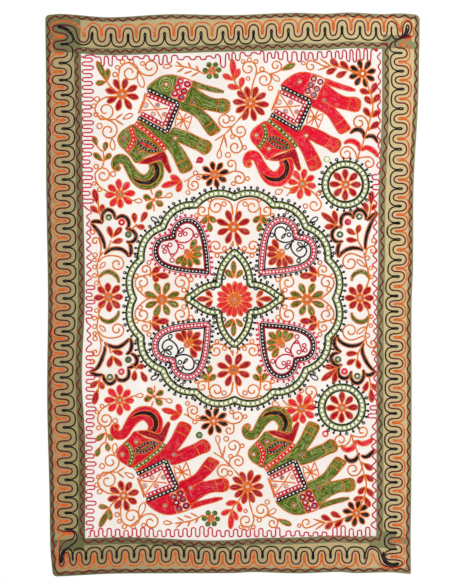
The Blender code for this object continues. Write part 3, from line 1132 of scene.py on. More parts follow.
BRIGHT_SCROLLS = {
    "stems": (
        (
            177, 241.3, 183, 242.4, 188, 241.5, 192.3, 238.5, 194, 234, 193.4, 229.5, 191, 227.4, 187.3,
            227, 184, 228.9, 182.6, 232,
        ),
        (
            177, 241.5, 178, 247, 176, 252, 172.5, 255.5, 168.5, 257.2, 164.5, 255.5, 162.4, 251.7, 162.7,
            248.6, 165, 247, 168, 246.8,
        ),
    ),
    "berries": ((197, 235, 2), (180.3, 228.3, 2.1), (179.8, 234.6, 2)),
    "loops": (
        (183, 233, 187.4, 238.4, 0.9), (165.5, 247, 171.2, 242.6, 1.5), (164.6, 246.6, 161.8, 242.4, 1.5),
        (166, 247.4, 172.3, 250.4, 1.6), (169.3, 257.6, 171, 262.8, 1.7), (178.6, 243.4, 183.6, 249, 1.8),
    ),
}
HALF_FLOWER_MIDDLE = (187, 252)
# Petals of the half flower: foot x, y, tip x, y and half width
HALF_FLOWER = (
    (190.2, 249.3, 196, 239.6, 2.7), (191.5, 251, 201.6, 247.3, 2.4), (191, 254.5, 202.2, 254.6, 2.6),
    (190.8, 256.6, 200, 264.3, 2.7), (188.7, 257, 190.6, 267.4, 2.4), (186, 257, 182.6, 267.2, 2.4),
    (184.5, 255, 176, 263.6, 2.7),
)
QUARTER = {
    "stems": (
        (-1.35, 216.5, 206.6, 233, 215, 231, 204, 226, 200, 219, 198.8),
        (1.1, 202.5, 210.5, 208, 215, 202, 215.8), (208.5, 207, 208.7, 215, 208.5, 222),
        (1.4, 216, 246.2, 232.5, 243, 229, 249, 222, 252.5, 216, 253),
        (1.3, 142.3, 282.5, 157, 299, 148, 298, 141, 293, 136, 287, 135, 282),
        (-1.1, 145.5, 269.8, 150, 277, 150.5, 269.5),
        (-1.4, 181, 282.3, 171, 299, 182, 299, 186, 294, 188.5, 288, 189, 282.5),
        (143, 275.5, 148, 274.7, 153, 273.5),
    ),
    "berries": (
        (224, 204, 2.2), (209.5, 199.5, 2), (196.5, 215.5, 2), (224.5, 248.5, 2), (217, 255.5, 2),
        (136, 276, 2.2), (149, 262.5, 2), (140, 289.5, 2.2), (191, 279.5, 2.2), (184, 290, 2.2),
    ),
    "leaves": {
        "green": ((207, 216, 203, 223.3, 2.4), (209, 216, 215, 221.7, 2.4), (208.5, 222, 210.3, 231, 2.4)),
        "maroon": (
            (151.5, 273.8, 159, 267.5, 2.6), (154, 275.3, 168, 276, 2.7), (152.5, 275, 157.5, 281, 2.5),
        ),
    },
}
NORTH_LEAVES = ((234, 277, 233.5, 261, 2.4), (233, 278, 225.4, 270, 2.7), (236, 278, 242.3, 270.5, 2.4))
WEST_LEAVES = (
    (211, 299, 197, 299, 2.5), (212.5, 297.5, 206.3, 290.7, 2.3), (212.5, 300.5, 205.8, 307.5, 2.4),
)


def turned_over(flip_x, flip_y):
    """A place function for one quarter of the medallion."""
    def place(points):
        turned = points.copy()
        if flip_x:
            turned[:, 0] = 2 * MIDDLE[0] - turned[:, 0]
        if flip_y:
            turned[:, 1] = 2 * MIDDLE[1] - turned[:, 1]
        return turned
    return place


def ring():
    """The lobed ring."""
    t = np.linspace(0, LOBES, LOBES * 24 + 1)
    share = t % 1.0
    radius = RING_RADIUS + LOBE_RISE * 4 * share * (1 - share)
    angle = t * 2 * math.pi / LOBES
    line = np.stack([MIDDLE[0] + radius * np.cos(angle), MIDDLE[1] + radius * np.sin(angle)], axis=-1)
    pearl_band(line, 3.3, 4.7, 2.15, outward=-1)


def heart(dark):
    """One heart with its scrolls and half flower. dark says which of the two colourings it has."""
    outline = joined(*HEART)
    if dark:
        band(outline, "black", 1.25, 3.5, 0.85, 1.3, closed=True)
        stitch("maroon", offset_line(outline, 2.6, closed=True), width=5.2, closed=True)
        picot_line = offset_line(outline, -3.0, closed=True)
    else:
        inner = offset_line(outline, -0.4, closed=True)
        band(inner, "bright_crimson", 1.5, 3.4, 1.35, 1.0, closed=True)
        stitch("black", offset_line(outline, 2.8, closed=True), width=5.2, closed=True)
        picot_line = offset_line(outline, -3.5, closed=True)
    scroll = "crimson" if dark else "black"
    stitch(scroll, picot_line, width=3.6, closed=True)
    picots(picot_line, 5.2, -0.5, "bright_crimson" if dark else "black", 1.55, some_open=not dark)
    spray(**(DARK_SCROLLS if dark else BRIGHT_SCROLLS), colour=scroll)
    knot(scroll, 176.3, 240.8, 1.7)
    disc("orange", 189.2, 254.4, 3.7)
    for *places, half_width in HALF_FLOWER:
        leaf("green" if dark else "maroon", places[:2], places[2:], half_width + 0.2)
    sequin(*HALF_FLOWER_MIDDLE, "orange", 1.9, 2)


def quatrefoil():
    """The four-pointed piece in the middle, with the large flower."""
    quarters = []
    for across, down in ((1, 1), (1, -1), (-1, -1), (-1, 1)):
        runs = [np.array(run, float) * (across, down) + MIDDLE for run in QUATREFOIL_QUARTER]
        quarters += runs if across == down else [run[::-1] for run in reversed(runs)]
    pearl_band(joined(*quarters), 3.0, 4.5, 1.9, outward=1, inner_width=5.4)
    for dx, dy in ((11, 21), (21.5, 10.5)):
        for across, down in ((1, 1), (1, -1), (-1, 1), (-1, -1)):
            berry("black", MIDDLE[0] + across * dx, MIDDLE[1] + down * dy, 2.0)
    flower(MIDDLE[0], MIDDLE[1] + 1, 16, 18, -90, "red", 2.15, inner=0.33, rings=5)


# Small rings inside the medallion's ring: the angle from the top, and the rings' angles from it
CUSP_RINGS = (
    (0, (26.6, 31.5, 35.4)), (0, (-26.6, -31.5, -35.4)), (90, (-26.6, -31.5, -35.4)),
    (90, (26.6, 31.5, 35.4)), (180, (-26.6, -31.5, -35.4)), (180, (26.6, 31.5, 35.4)),
    (270, (-26.6, -31.5)),
)


def medallion():
    ring()
    quatrefoil()
    for flip_x, flip_y in ((0, 0), (1, 0), (0, 1), (1, 1)):
        with worked(place=turned_over(flip_x, flip_y)):
            spray(**QUARTER)
            heart(dark=flip_x == flip_y)
            drop("black", 159, 222, 151, 217.5, 2)
    for flip in (0, 1):
        with worked(place=turned_over(0, flip)):
            for x, y, tip_x, tip_y, half_width in NORTH_LEAVES:
                leaf("green", (x, y), (tip_x, tip_y), half_width)
            vine("gold", 232, 205, 233, 213)
            vine("gold", 233, 241, 233, 247)
            flower(233.5, 227, 8, 17.8, -67.5, "maroon", 2.5)
        with worked(place=turned_over(flip, 0)):
            for x, y, tip_x, tip_y, half_width in WEST_LEAVES:
                leaf("maroon", (x, y), (tip_x, tip_y), half_width)
            flower(162, 299.5, 8, 17.8, -67.5, "green", 2.5)
    for middle, steps in CUSP_RINGS:
        for degrees in steps:
            x, y = polar(*MIDDLE, RING_RADIUS, middle + degrees - 90)
            berry("black", x, y, 1.55, width=3.2)


# The columns beside the medallion, drawn above the middle and turned over below it
LEFT_COLUMN = {
    "stems": (
        (98, 200, 98.5, 208, 100, 216), (104.5, 252, 109, 246, 111, 240), (131, 230, 134, 227, 137, 224),
        (103, 252, 99, 258, 97, 266, 98, 275, 100, 284, 104, 290),
        (-1.1, 95.3, 241.2, 100, 256, 101, 247, 99, 239.5),
        (1.35, 117, 264, 98.5, 262, 103, 257.5, 110, 255.5, 118, 256.5),
    ),
    "berries": (
        (92.5, 232, 2.2), (95, 255, 2.2), (94.5, 260, 1.8), (94.5, 267, 2), (94.5, 275.5, 2),
        (96.5, 283, 2),
    ),
    "loops": ((99.5, 268.5, 105, 262.5, 1.8),),
    "leaves": {
        "maroon": (
            (97.5, 204, 94, 190, 2.6), (98.5, 213, 91, 206.5, 2.3), (100, 212, 103, 205, 2.2),
            (112, 238, 108.5, 227, 2.3), (113, 237, 121, 228, 2.3), (112, 242.5, 122, 240, 2.3),
            (135, 223, 134, 213.5, 2.3), (141, 222, 146, 212.5, 2.3), (136, 226, 144, 227.5, 2.2),
        ),
    },
}
LEFT_FLOWER = (108.5, 297, 8, 14.9, -92, "maroon", 2.5)
LEFT_CRESCENT = ((99.3, 277.5), (103, 273.5), (108.5, 271.7), (114, 274), (117.8, 278.3), (118.8, 283))

RIGHT_COLUMN = {
    "stems": (
        (357.5, 233, 358.5, 241, 363, 249), (342, 229, 339, 227, 335, 224),
        (369, 217, 370.5, 211, 371, 205), (364, 252, 366, 262, 368.5, 272, 369, 280, 366, 288),
        (-1.35, 350.5, 262.5, 364, 258, 354, 254), (1.1, 372.7, 250.3, 366, 255, 367, 249.5, 371, 246.2),
    ),
    "berries": ((374, 240.5, 2.2), (367.5, 258, 2.2), (371, 268, 1.8), (371.5, 277, 1.8)),
    "loops": ((366, 267, 357, 260, 2),),
    "leaves": {
        "maroon": (
            (357, 234, 359.5, 225.5, 2.2), (355.5, 234.5, 347.5, 229.5, 2.2), (358, 240.5, 347, 239.5, 2.2),
            (337, 225, 322.5, 213.5, 2.3), (337, 224, 334, 211.5, 2.3), (336, 226, 325.5, 227, 2.2),
            (368, 212, 364.5, 203, 2.2), (371, 210, 376, 205, 1.8), (371, 205, 372, 192, 2.4),
        ),
    },
}
RIGHT_FLOWER = (360, 298, 8, 14.6, -90, "maroon", 2.5)
RIGHT_CRESCENT = ((351.5, 281), (353, 276), (357, 272.5), (362, 271.5), (367, 274), (370.3, 279.5))
# Each lily's black outlines, and its sequins: x, y and colour
LILIES = (
    (
        (
            ((90.5, 222.5), (95, 221.3), (99.5, 221.8), (103, 223)),
            (
                (102.8, 222.5), (102, 217.5), (103.5, 212.5), (107, 209.8), (111, 210.5), (114, 214),
                (115.3, 219.5),
            ),
            (
                (115.5, 219.5), (118.5, 217), (122.5, 216), (126.5, 218), (128.8, 222.5), (128, 227),
                (125.5, 229.3),
            ),
            (
                (126, 229), (131, 229.8), (134.5, 232.5), (136, 236.5), (134, 240.5), (130, 242.3),
                (126, 241.5),
            ),
            ((129, 242.5), (130.8, 247), (131, 252), (129, 257)),
            (
                (129, 257), (126, 252.5), (121.5, 249.3), (116.5, 248.5), (111, 249.3), (107, 252),
                (104, 254.3),
            ),
            ((90.5, 223), (95.5, 228), (100, 234), (103, 240.5), (104.3, 245), (104.6, 249)),
        ),
        ((108.6, 217.3, "green"), (121.6, 222.3, "red"), (128.3, 234.5, "green")),
    ),
    (
        (
            ((104.5, 343), (109, 345.5), (115, 347.3), (120, 346.5), (125, 343), (129.5, 338.5)),
            ((129.8, 338), (131.5, 342), (131.5, 347), (129.5, 352), (126, 354.6)),
            ((131, 353.5), (135, 356), (137, 360), (136, 364), (132, 366.8), (127, 368)),
            (
                (128, 368), (129, 373), (127.5, 378), (123, 380.5), (118.5, 379.8), (116.5, 377),
                (115.7, 374),
            ),
            ((116.5, 377.5), (113.8, 382), (110, 384), (106.5, 382.5), (103.8, 378.5), (103.3, 374.5)),
            ((103.3, 375), (98, 375.2), (93.5, 374), (90, 372)),
            ((90, 371.5), (96, 369), (100, 363.5), (103, 356), (104.8, 350), (104.5, 346)),
        ),
        ((109.8, 377.3, "green"), (121.3, 371.7, "red"), (128.3, 359.8, "green")),
    ),
    (
        (
            ((378, 213), (374, 218), (370.5, 225), (367.5, 233), (365.8, 241), (365.3, 249.5)),
            ((378, 212.5), (374, 214.5), (369.5, 218), (366.5, 220.3)),
            (
                (366.3, 220.3), (366, 215), (363, 210.8), (359, 209.8), (355, 212), (353.5, 216.5),
                (353.3, 219),
            ),
            (
                (353.3, 218.5), (351.5, 215), (347.5, 213.5), (343.5, 215), (341.2, 219.5), (341.2, 224),
                (342.5, 226.5),
            ),
            (
                (342.3, 226.3), (336.5, 227.5), (333, 231), (332, 236), (334, 240), (338, 241.8),
                (343.5, 241),
            ),
            ((341, 241.5), (338.3, 246.5), (337.8, 252), (339, 257.5)),
            ((339, 257.5), (341.5, 253.5), (346.5, 249.8), (352.5, 248), (358.5, 248.5), (363.5, 250.8)),
        ),
        ((359.5, 216.5, "green"), (348, 222, "red"), (340, 234.5, "green")),
    ),
    (
        (
            ((336.5, 335.5), (339, 340), (344, 344), (351, 346), (358, 345), (364, 341.5)),
            ((336.5, 336), (334.5, 341), (335, 346), (338, 350), (341.5, 352.5)),
            ((340, 352.5), (334, 353.8), (331.2, 357.5), (332.5, 362), (337, 365.5), (342.5, 364.8)),
            (
                (339.5, 367), (338, 372), (340, 376.5), (344.5, 378.5), (349, 376.5), (351.2, 372.5),
                (352, 371),
            ),
            (
                (351, 373.5), (351.5, 378.5), (354.5, 382.5), (359, 383), (362.5, 379.5), (364, 374.5),
                (363.3, 369.5),
            ),
            ((364, 373.8), (368.5, 375.3), (372.5, 374), (375.3, 371.8)),
            ((375.3, 371.8), (370.5, 367.5), (366, 361), (362.8, 353.5), (362.3, 347.5), (364, 343)),
        ),
        ((338, 359.5, "green"), (344.5, 371.5, "red"), (357.3, 376.2, "green")),
    ),
)
COLUMN_MIDDLE_Y = 296.8


def upside_down(points):
    turned = points.copy()
    turned[:, 1] = 2 * COLUMN_MIDDLE_Y - turned[:, 1]
    return turned


def lily(outlines, sequins):
    for points in outlines:
        tapered("black", points, 1.65, power=0.3)
    for x, y, colour in sequins:
        sequin(x, y, colour, 1.95, 2, width=FINE_WIDTH)


def columns():
    for changes in ({}, {"place": upside_down}):
        with worked(**changes):
            for vines, crescent in ((LEFT_COLUMN, LEFT_CRESCENT), (RIGHT_COLUMN, RIGHT_CRESCENT)):
                spray(**vines)
                tapered("green", crescent, 1.75)
    for outlines, sequins in LILIES:
        lily(outlines, sequins)
    flower(*LEFT_FLOWER)
    flower(*RIGHT_FLOWER)


def end_field():
    """The vines of the field's upper end."""
    for vines in (UPPER_LEFT, TOP_MIDDLE, UNDER_MIDDLE, UPPER_RIGHT):
        spray(**vines)
    for x, y in BERRY_CLUSTER:
        disc("green", x, y, 2.8)
    sequin(212, 70.6, "orange", 1.7, 3)
    disc("orange", 153.5, 199.7, 1.7)


def end_flowers(end):
    """The flowers and thick strokes of one end of the field, each at its own place."""
    for row in FLOWERS[end]:
        flower(*row)
    for colour, half_width, *points in CRESCENTS[end]:
        tapered(colour, points, half_width)
    ringed_flower(*RINGED_FLOWERS[end])


def upper_right_elephant(points):
    x, y = points[:, 0], points[:, 1]
    return np.stack([x + 134 - 0.03 * (x - 148) - 0.045 * (y - 90), y - 3.2 + 0.02 * (x - 140)], axis=-1)


def lower(points):
    """The lower end is the upper one turned over, a little shorter and leaning a little."""
    turned = points.copy()
    turned[:, 1] = 506 - 0.945 * (points[:, 1] - 84)
    turned[:, 0] = points[:, 0] - 0.033 * (points[:, 0] - 175)
    return turned


def lower_left_elephant(points):
    turned = lower(points)
    turned[:, 0] = points[:, 0] - 1.2
    return turned


def lower_right_elephant(points):
    turned = lower(points)
    turned[:, 0] = 293.5 + 0.955 * (points[:, 0] - 1.2 - 164)
    return turned


RED_BODY = {"green": "red", "red": "green"}
DEEP_RED_BODY = {"green": "deep_red", "red": "green"}


def field():
    with worked(area="upper"):
        end_field()
        end_flowers("upper")
        sequin(200, 160, "red", 1.95, 2, width=FINE_WIDTH)
        stroke("red", 199, 162, 195.5, 162)
        berry("pale_green", 327, 159, 2.7)
        elephant(halo=True, ring_width=8.6, ring_colour="crimson")
        with worked(place=upper_right_elephant, dyes=RED_BODY):
            elephant(ring_width=5.8)
    with worked(area="lower"):
        end_flowers("lower")
        sequin(199.3, 435.3, "green", 1.95, 2, width=FINE_WIDTH)
        berry("red", 325.5, 434, 2.6, width=6.0)
    with worked(area="lower", place=lower):
        end_field()
        with worked(place=lower_left_elephant, dyes=DEEP_RED_BODY):
            elephant()
        with worked(place=lower_right_elephant):
            elephant()
    with worked(area="centre"):
        medallion()
        columns()


# The crimson line along the field's edge: crests and troughs along the top, x, y
TOP_EDGING = (
    (81, 57), (90, 55), (99, 57), (103, 66), (105.5, 56), (111.5, 66), (113, 56), (120, 60), (125, 56),
    (130, 59.5), (136, 56.5), (142, 58.5), (146, 55.5), (152, 60), (157, 55), (161, 64.5), (165, 55),
    (169, 63), (174, 55), (181, 59.5), (187, 56.5), (193, 59.5), (198, 56.5), (203, 59.5), (209, 56),
    (214, 58), (217, 54.5), (224, 67.5), (227, 53.5), (231, 60.5), (233, 52.5), (238, 60.5), (242, 52.5),
    (248, 56), (254, 52.5), (259, 54), (262, 51), (266, 62.5), (269, 52.5), (274, 58), (276, 51.5),
    (281, 59.5), (285, 51), (290, 62), (294, 51.5), (300, 61.5), (303, 51.5), (307, 60), (310, 52.5),
    (316, 60), (319, 51.5), (325, 57.5), (329, 51), (334, 59), (337, 51), (341, 59), (344, 50), (349, 61.5),
    (351, 49.5), (355, 62), (358, 49), (362, 60), (366, 48.5), (369, 61.5), (373, 49), (376, 50),
)
# Along the sides and the bottom the line is loops: first and last place along the edge, how near to
# the strip and how far from it the loops reach, and their period, all in pixels. The heads of loops
# that reach further than ROUND_REACH are round.
ROUND_REACH = 5
LOOP_REACHES = (0.75, 0.9, 1.0, 1.0, 1.1, 1.25)
LEFT_EDGING = (
    (56, 205, 82.2, 92.5, 7.9), (208, 282, 86.5, 90.5, 8), (284, 320, 86, 94, 7.9), (322, 348, 87, 91, 8),
    (350, 531, 86, 94, 8),
)
RIGHT_EDGING = (
    (52, 170, 380.6, 377.6, 9.5), (172, 192, 379.5, 371.6, 9), (194, 402, 377.2, 373.6, 9.5),
    (404, 420, 377, 368, 8), (422, 530, 376.2, 372.2, 9.5),
)
BOTTOM_EDGING = ((88, 282, 537, 528.6, 8.6), (284, 329, 536.2, 531, 9), (331, 372, 537, 528.2, 8.4))


def loops(start, end, near, far, period):
    """A line that loops to and fro along an edge, some loops longer than others."""
    count = max(1, round((end - start) / period))
    bulge = 0.1 if abs(near - far) > ROUND_REACH else 0.0
    turn = np.linspace(0, count * 2 * math.pi, count * 20)
    along = start + (end - start) * turn / (count * 2 * math.pi) + bulge * period * np.sin(2 * turn)
    reaches = np.array([random.choice(LOOP_REACHES) for _ in range(count + 1)])
    reach = (far - near) * reaches[(turn / (2 * math.pi)).astype(int)]
    return np.stack([along, near + reach * (1 - np.cos(turn)) / 2], axis=-1)


def wave_through(points):
    """A line that turns in round heads at each point."""
    p = np.array(points, float)
    s = np.linspace(0, 1, 14, endpoint=False)[:, None]
    along = p[:-1, 0] + (p[1:, 0] - p[:-1, 0]) * (s + 0.17 * np.sin(2 * math.pi * s))
    across = p[:-1, 1] + (p[1:, 1] - p[:-1, 1]) * (1 - np.cos(math.pi * s)) / 2
    return np.stack([along.T.ravel(), across.T.ravel()], axis=-1)


def edging():
    with worked(area="edging"):
        stitch("crimson", wave_through(TOP_EDGING), width=4.8)
        knot("crimson", 376.3, 50, 1.9, height=1.5)
        for rows in (LEFT_EDGING, RIGHT_EDGING, BOTTOM_EDGING):
            line = np.vstack([loops(*row) for row in rows])
            stitch("crimson", line if rows is BOTTOM_EDGING else line[:, ::-1], width=4.8)


# The border's three lines over half a period, from an orange stem to a black one: share of the
# period along, and share of the way from the line's outer reach to its inner one. The lines run
# down each stem and back.
HALF_PERIODS = {
    "border_orange": (
        (0, 1), (0.03, 0.97), (0.042, 0.8), (0.036, 0.5), (0.055, 0.33), (0.12, 0.17), (0.22, 0.06),
        (0.36, 0.01), (0.5, 0),
    ),
    "border_maroon": (
        (0, 1), (0.09, 0.97), (0.16, 0.87), (0.2, 0.7), (0.21, 0.5), (0.22, 0.33), (0.265, 0.16),
        (0.35, 0.045), (0.43, 0.01), (0.5, 0),
    ),
    "black": (
        (0, 1), (0.15, 0.985), (0.29, 0.92), (0.4, 0.77), (0.455, 0.6), (0.468, 0.4), (0.452, 0.17),
        (0.472, 0.03), (0.5, 0),
    ),
}
LINE_WIDTHS = {"border_orange": 5.6, "border_maroon": 5.2, "black": 5.2}
# How far from the strip's outer edge each line reaches, in mm: outer and inner
REACHES = {
    "top": {"border_orange": (18, 55), "border_maroon": (28, 67), "black": (43, 79)},
    "right": {"border_orange": (16, 48), "border_maroon": (23, 60), "black": (36, 70)},
    "bottom": {"border_orange": (18, 54), "border_maroon": (27, 62), "black": (40, 73)},
    "left": {"border_orange": (16, 52), "border_maroon": (22, 62), "black": (41, 76)},
}
# How far the lines stray inwards along each strip: place in pixels, and mm
STRAYS = {
    "top": ((92, 0), (165, 6), (230, 1), (290, 0), (315, -5), (390, -7)),
    "right": (
        (52, 10), (80, 4), (138, 3), (160, -1), (180, -6), (213, -3), (233, 1), (250, -5), (287, 2),
        (306, 0), (390, 2), (420, 4), (458, 2), (549, 1),
    ),
    "bottom": ((85, 0), (174, 4), (206, -2), (254, -2), (372, -2)),
    "left": ((44, 0), (72, -6), (98, 0), (235, 2), (306, -1), (370, -6), (420, 0), (456, 2), (530, -1)),
}
# Places of the black stems along each strip, in pixels
STEMS = {
    "top": (
        92, 111, 128, 145, 164.5, 183, 201, 223, 238.5, 253.5, 271.5, 288.5, 308, 325, 342, 360, 376, 392,
    ),
    "right": (
        52.5, 71, 89, 108.5, 128.5, 149, 170, 188.5, 206, 223, 239.5, 260, 276.5, 296, 311.5, 328.5, 346.5,
        363.5, 379, 397.5, 413.5, 432, 449, 467, 482.5, 500, 517, 533, 549.5,
    ),
    "bottom": (
        72.5, 86, 102, 116.5, 134, 150.5, 166, 184, 198.5, 214.5, 230.5, 245.5, 262.5, 280, 296, 313, 330.5,
        347, 365,
    ),
    "left": (
        44, 63, 80, 95, 111.5, 128.5, 145.5, 162, 179.5, 195.5, 213, 228.5, 247, 264, 281, 298.5, 315.5,
        331.5, 345.5, 362, 377.5, 394.5, 410.5, 427.5, 446.5, 463, 480, 497.5, 513, 529.5,
    ),
}
# The lines round each corner, from the last stem of one strip to the first of the next: x, y
CORNERS = {
    "top": {
        "border_orange": (
            (51.5, 40.5), (53, 38), (58, 37.4), (63.5, 37.6), (63, 36), (57, 35.4), (52.8, 32.5),
            (50.8, 28.5), (52.5, 24), (57.5, 21.7), (64, 21.2), (72, 22.6), (78.5, 26), (81.8, 30),
            (83, 34), (84.3, 37.5), (85.2, 36), (84.6, 31), (86, 27.6), (89, 25.6),
        ),
        "border_maroon": (
            (55.5, 41.6), (60, 40.8), (65, 40.2), (67.8, 37.4), (66, 34.4), (60, 32.8), (54.5, 31.4),
            (52, 28.5), (54.5, 26), (61, 25), (68, 25.4), (74, 27.6), (76.5, 32), (77.6, 37), (80, 41),
            (83.5, 42.3), (87, 41), (88.7, 37), (89, 32), (90, 29.3),
        ),
        "black": (
            (64, 43.6), (70, 43), (73, 40.5), (71.2, 35), (67, 30.8), (62, 28.4), (58, 27.4), (58.4, 25.6),
            (64, 27), (69, 30.2), (72.8, 35.5), (75, 41), (79, 44), (84, 44.9), (88.5, 43.3), (91, 40),
            (91, 36),
        ),
    },
    "right": {
        "border_orange": (
            (396.5, 21.5), (399, 26), (399.8, 31.5), (400.9, 31.5), (401.2, 26), (403, 21.5), (406.5, 19.6),
            (410.3, 21), (412.5, 25), (413.6, 31), (413, 36), (409, 39.3), (404, 41.8), (400, 44.8),
            (400.6, 46), (405, 44.8), (408.5, 46.5),
        ),
        "border_maroon": (
            (396, 23.6), (397.5, 29), (398, 34), (400.3, 37), (402.6, 34), (403, 27), (405, 22.4),
            (408.5, 21.2), (411, 24), (411.4, 29), (409.5, 34), (405, 37), (399, 39.2), (395.5, 42),
            (395, 45.5), (398, 47.7), (403, 48.2), (406.4, 50),
        ),
        "black": (
            (391.2, 31), (392.6, 36), (395, 38.8), (399, 38.6), (403, 36), (405.6, 31.5), (406.3, 27),
            (407.6, 24.8), (409, 27), (408, 32), (405.5, 36), (401, 38.5), (395.5, 40.5), (391.5, 43.5),
            (390, 47.5), (391.3, 51), (395.5, 52.2),
        ),
    },
    "bottom": {
        "border_orange": (
            (404.8, 553.5), (401, 555.6), (396, 555.8), (391.2, 556), (391.4, 557.4), (397, 557.4),
            (402.5, 558), (404.6, 561), (403, 565), (398, 567.8), (390, 568.3), (383, 567), (378, 563.5),
            (375, 559), (373.3, 555), (371.4, 553.2), (370.9, 555), (372, 560), (370.5, 563.5),
        ),
        "border_maroon": (
            (401, 552.5), (395, 553.4), (388, 554), (385.2, 556.5), (388, 559.4), (397, 560),
            (401.6, 561.6), (402, 564.6), (398, 566.4), (389, 566.8), (382, 564), (379.3, 558.5),
            (378.3, 552.6), (375, 549.7), (371, 549), (368.3, 551.5), (367.6, 557), (366.5, 560),
        ),
        "black": (
            (391, 549.8), (386, 552), (384, 556), (385, 560), (389, 563), (394, 563.8), (398, 562.8),
            (398.4, 564.4), (391, 565.6), (385, 563), (382, 557.5), (380.4, 552), (377, 548), (372, 546.4),
            (367.8, 548), (365.9, 552),
        ),
    },
    "left": {
        "border_orange": (
            (69, 565.6), (67.6, 560), (67, 555), (65.8, 553.3), (65, 556), (65.4, 561), (65.6, 565),
            (62.5, 568), (59, 567.4), (57.4, 562), (57, 554), (57.8, 545), (59.5, 538), (63, 535.4),
            (68, 534.6), (71.6, 533.7), (71, 532.5), (64, 533.3), (60, 532.8),
        ),
        "border_maroon": (
            (69.9, 562), (69.5, 556), (67.5, 552.6), (64.9, 553), (64, 557.5), (64, 563), (62, 566.4),
            (60, 565), (59.3, 560), (59.6, 552), (61.5, 545.5), (66, 541.4), (72, 539), (74.6, 535.6),
            (72.8, 532.2), (68, 531.4), (63, 531.4),
        ),
        "black": (
            (72.1, 553), (70.8, 549.7), (67.3, 548.4), (63.3, 550.5), (61.2, 555), (60.6, 560), (61.5, 563),
            (62.5, 560), (62.8, 554.5), (66, 549.5), (71, 545.4), (75.6, 541.6), (77, 537), (75.6, 532.6),
            (72, 530.3),
        ),
    },
}
# Short thick strokes near the corners: colour, half width, points x, y
CORNER_STROKES = (
    ("maroon", 1.3, (403, 38.2), (407.5, 37.2), (411.5, 36)),
    ("maroon", 1.2, (381.5, 44.6), (384.5, 43.8), (388.5, 44)),
    ("black", 1.7, (383, 551.5), (383.8, 557.5), (387, 562.3), (391.5, 564.2), (397.8, 563.2)),
    ("black", 1.3, (63.3, 550.5), (61.6, 555), (61.2, 559), (61.6, 562.8)),
    ("black", 1.3, (57.8, 26), (63, 27.2), (68, 30.2)),
    ("black", 1.2, (403, 36), (406.3, 32.5), (407.3, 28)),
)
# The wavy lines along each strip's outer and inner edge: distance from that edge, half width and
# period in mm, and the places along the strip where the line turns the corners, in pixels
ZIGZAGS = {
    "top": ((8, 3.4, 30, 49, 416.5), (10.5, 3.4, 27, 80, 386)),
    "right": ((8.5, 3.4, 33, 19, 571), (10.5, 4.2, 34, 46, 537)),
    "bottom": ((8.5, 3.2, 30, 57, 406.5), (9.5, 3.6, 28, 84, 380)),
    "left": ((8.5, 3.4, 33, 19, 572.5), (10.5, 4.2, 34, 50, 539)),
}


def strip_points(side, along, inward):
    """Points of the photograph, from x or y along a strip in pixels and mm in from its outer edge."""
    along, inward = np.asarray(along, float), np.asarray(inward, float) * MM / PIXEL
    if side in ("top", "bottom"):
        _, _, top, bottom = edges((along - PHOTO_MIDDLE_X) * PIXEL, 0.0)
        y = PHOTO_TOP_Y + (inward - top / PIXEL if side == "top" else -inward - bottom / PIXEL)
        return np.stack([along, y], axis=-1)
    left, right, _, _ = edges(0.0, (along - PHOTO_TOP_Y) * PIXEL)
    x = PHOTO_MIDDLE_X + (left / PIXEL + inward if side == "left" else right / PIXEL - inward)
    return np.stack([x, along], axis=-1)


def strip_line(side, colour):
    """One line of the border, from the first stem of a strip to its last."""
    half = np.array(HALF_PERIODS[colour])
    to_next = np.vstack([half[:0:-1] * (-1, 1), half[:-1]]) + (0.5, 0)
    stems = np.array(STEMS[side], float)
    count = len(stems) - 1
    periods = np.vstack([to_next + (k, 0) for k in range(count)] + [half[-1:] + (count - 0.5, 0)])
    along = through(list(enumerate(stems)), periods[:, 0])
    outer, inner = REACHES[side][colour]
    inward = outer + (inner - outer) * periods[:, 1] + through(STRAYS[side], along)
    return strip_points(side, along, inward)


def zigzag(from_inner):
    """The wavy line along one edge of all four strips."""
    runs = []
    for side, lines in ZIGZAGS.items():
        inset, half_width, period, start, end = lines[from_inner]
        along = np.arange(start, end, 0.7)
        middle = PHOTO_MIDDLE_X if side in ("top", "bottom") else PHOTO_TOP_Y
        inward = np.full(len(along), inset, float)
        if from_inner:
            inward = strip_width(side, (along - middle) * PIXEL) / MM - inset
        phase = 2 * math.pi * along * PIXEL / (period * MM) + 1.6 * np.sin(along * 0.031 + len(side))
        run = strip_points(side, along, inward + half_width * np.sin(phase))
        runs.append(run[::-1] if side in ("bottom", "left") else run)
    stitch("border_maroon", np.vstack(runs), width=5.2, closed=True)


def border():
    with worked(area="border", cloth=STRIP_THICK):
        for colour, width in LINE_WIDTHS.items():
            runs = []
            for side in ("top", "right", "bottom", "left"):
                corner = smooth(CORNERS[side][colour])
                line = smooth(strip_line(side, colour))
                if side in ("bottom", "left"):
                    line = line[::-1]
                runs += [corner, line]
            stitch(colour, np.vstack(runs), width=width, closed=True)
        for colour, half_width, *points in CORNER_STROKES:
            tapered(colour, points, half_width, outline=None, power=0.3)
        zigzag(from_inner=False)
        zigzag(from_inner=True)


# The cloths


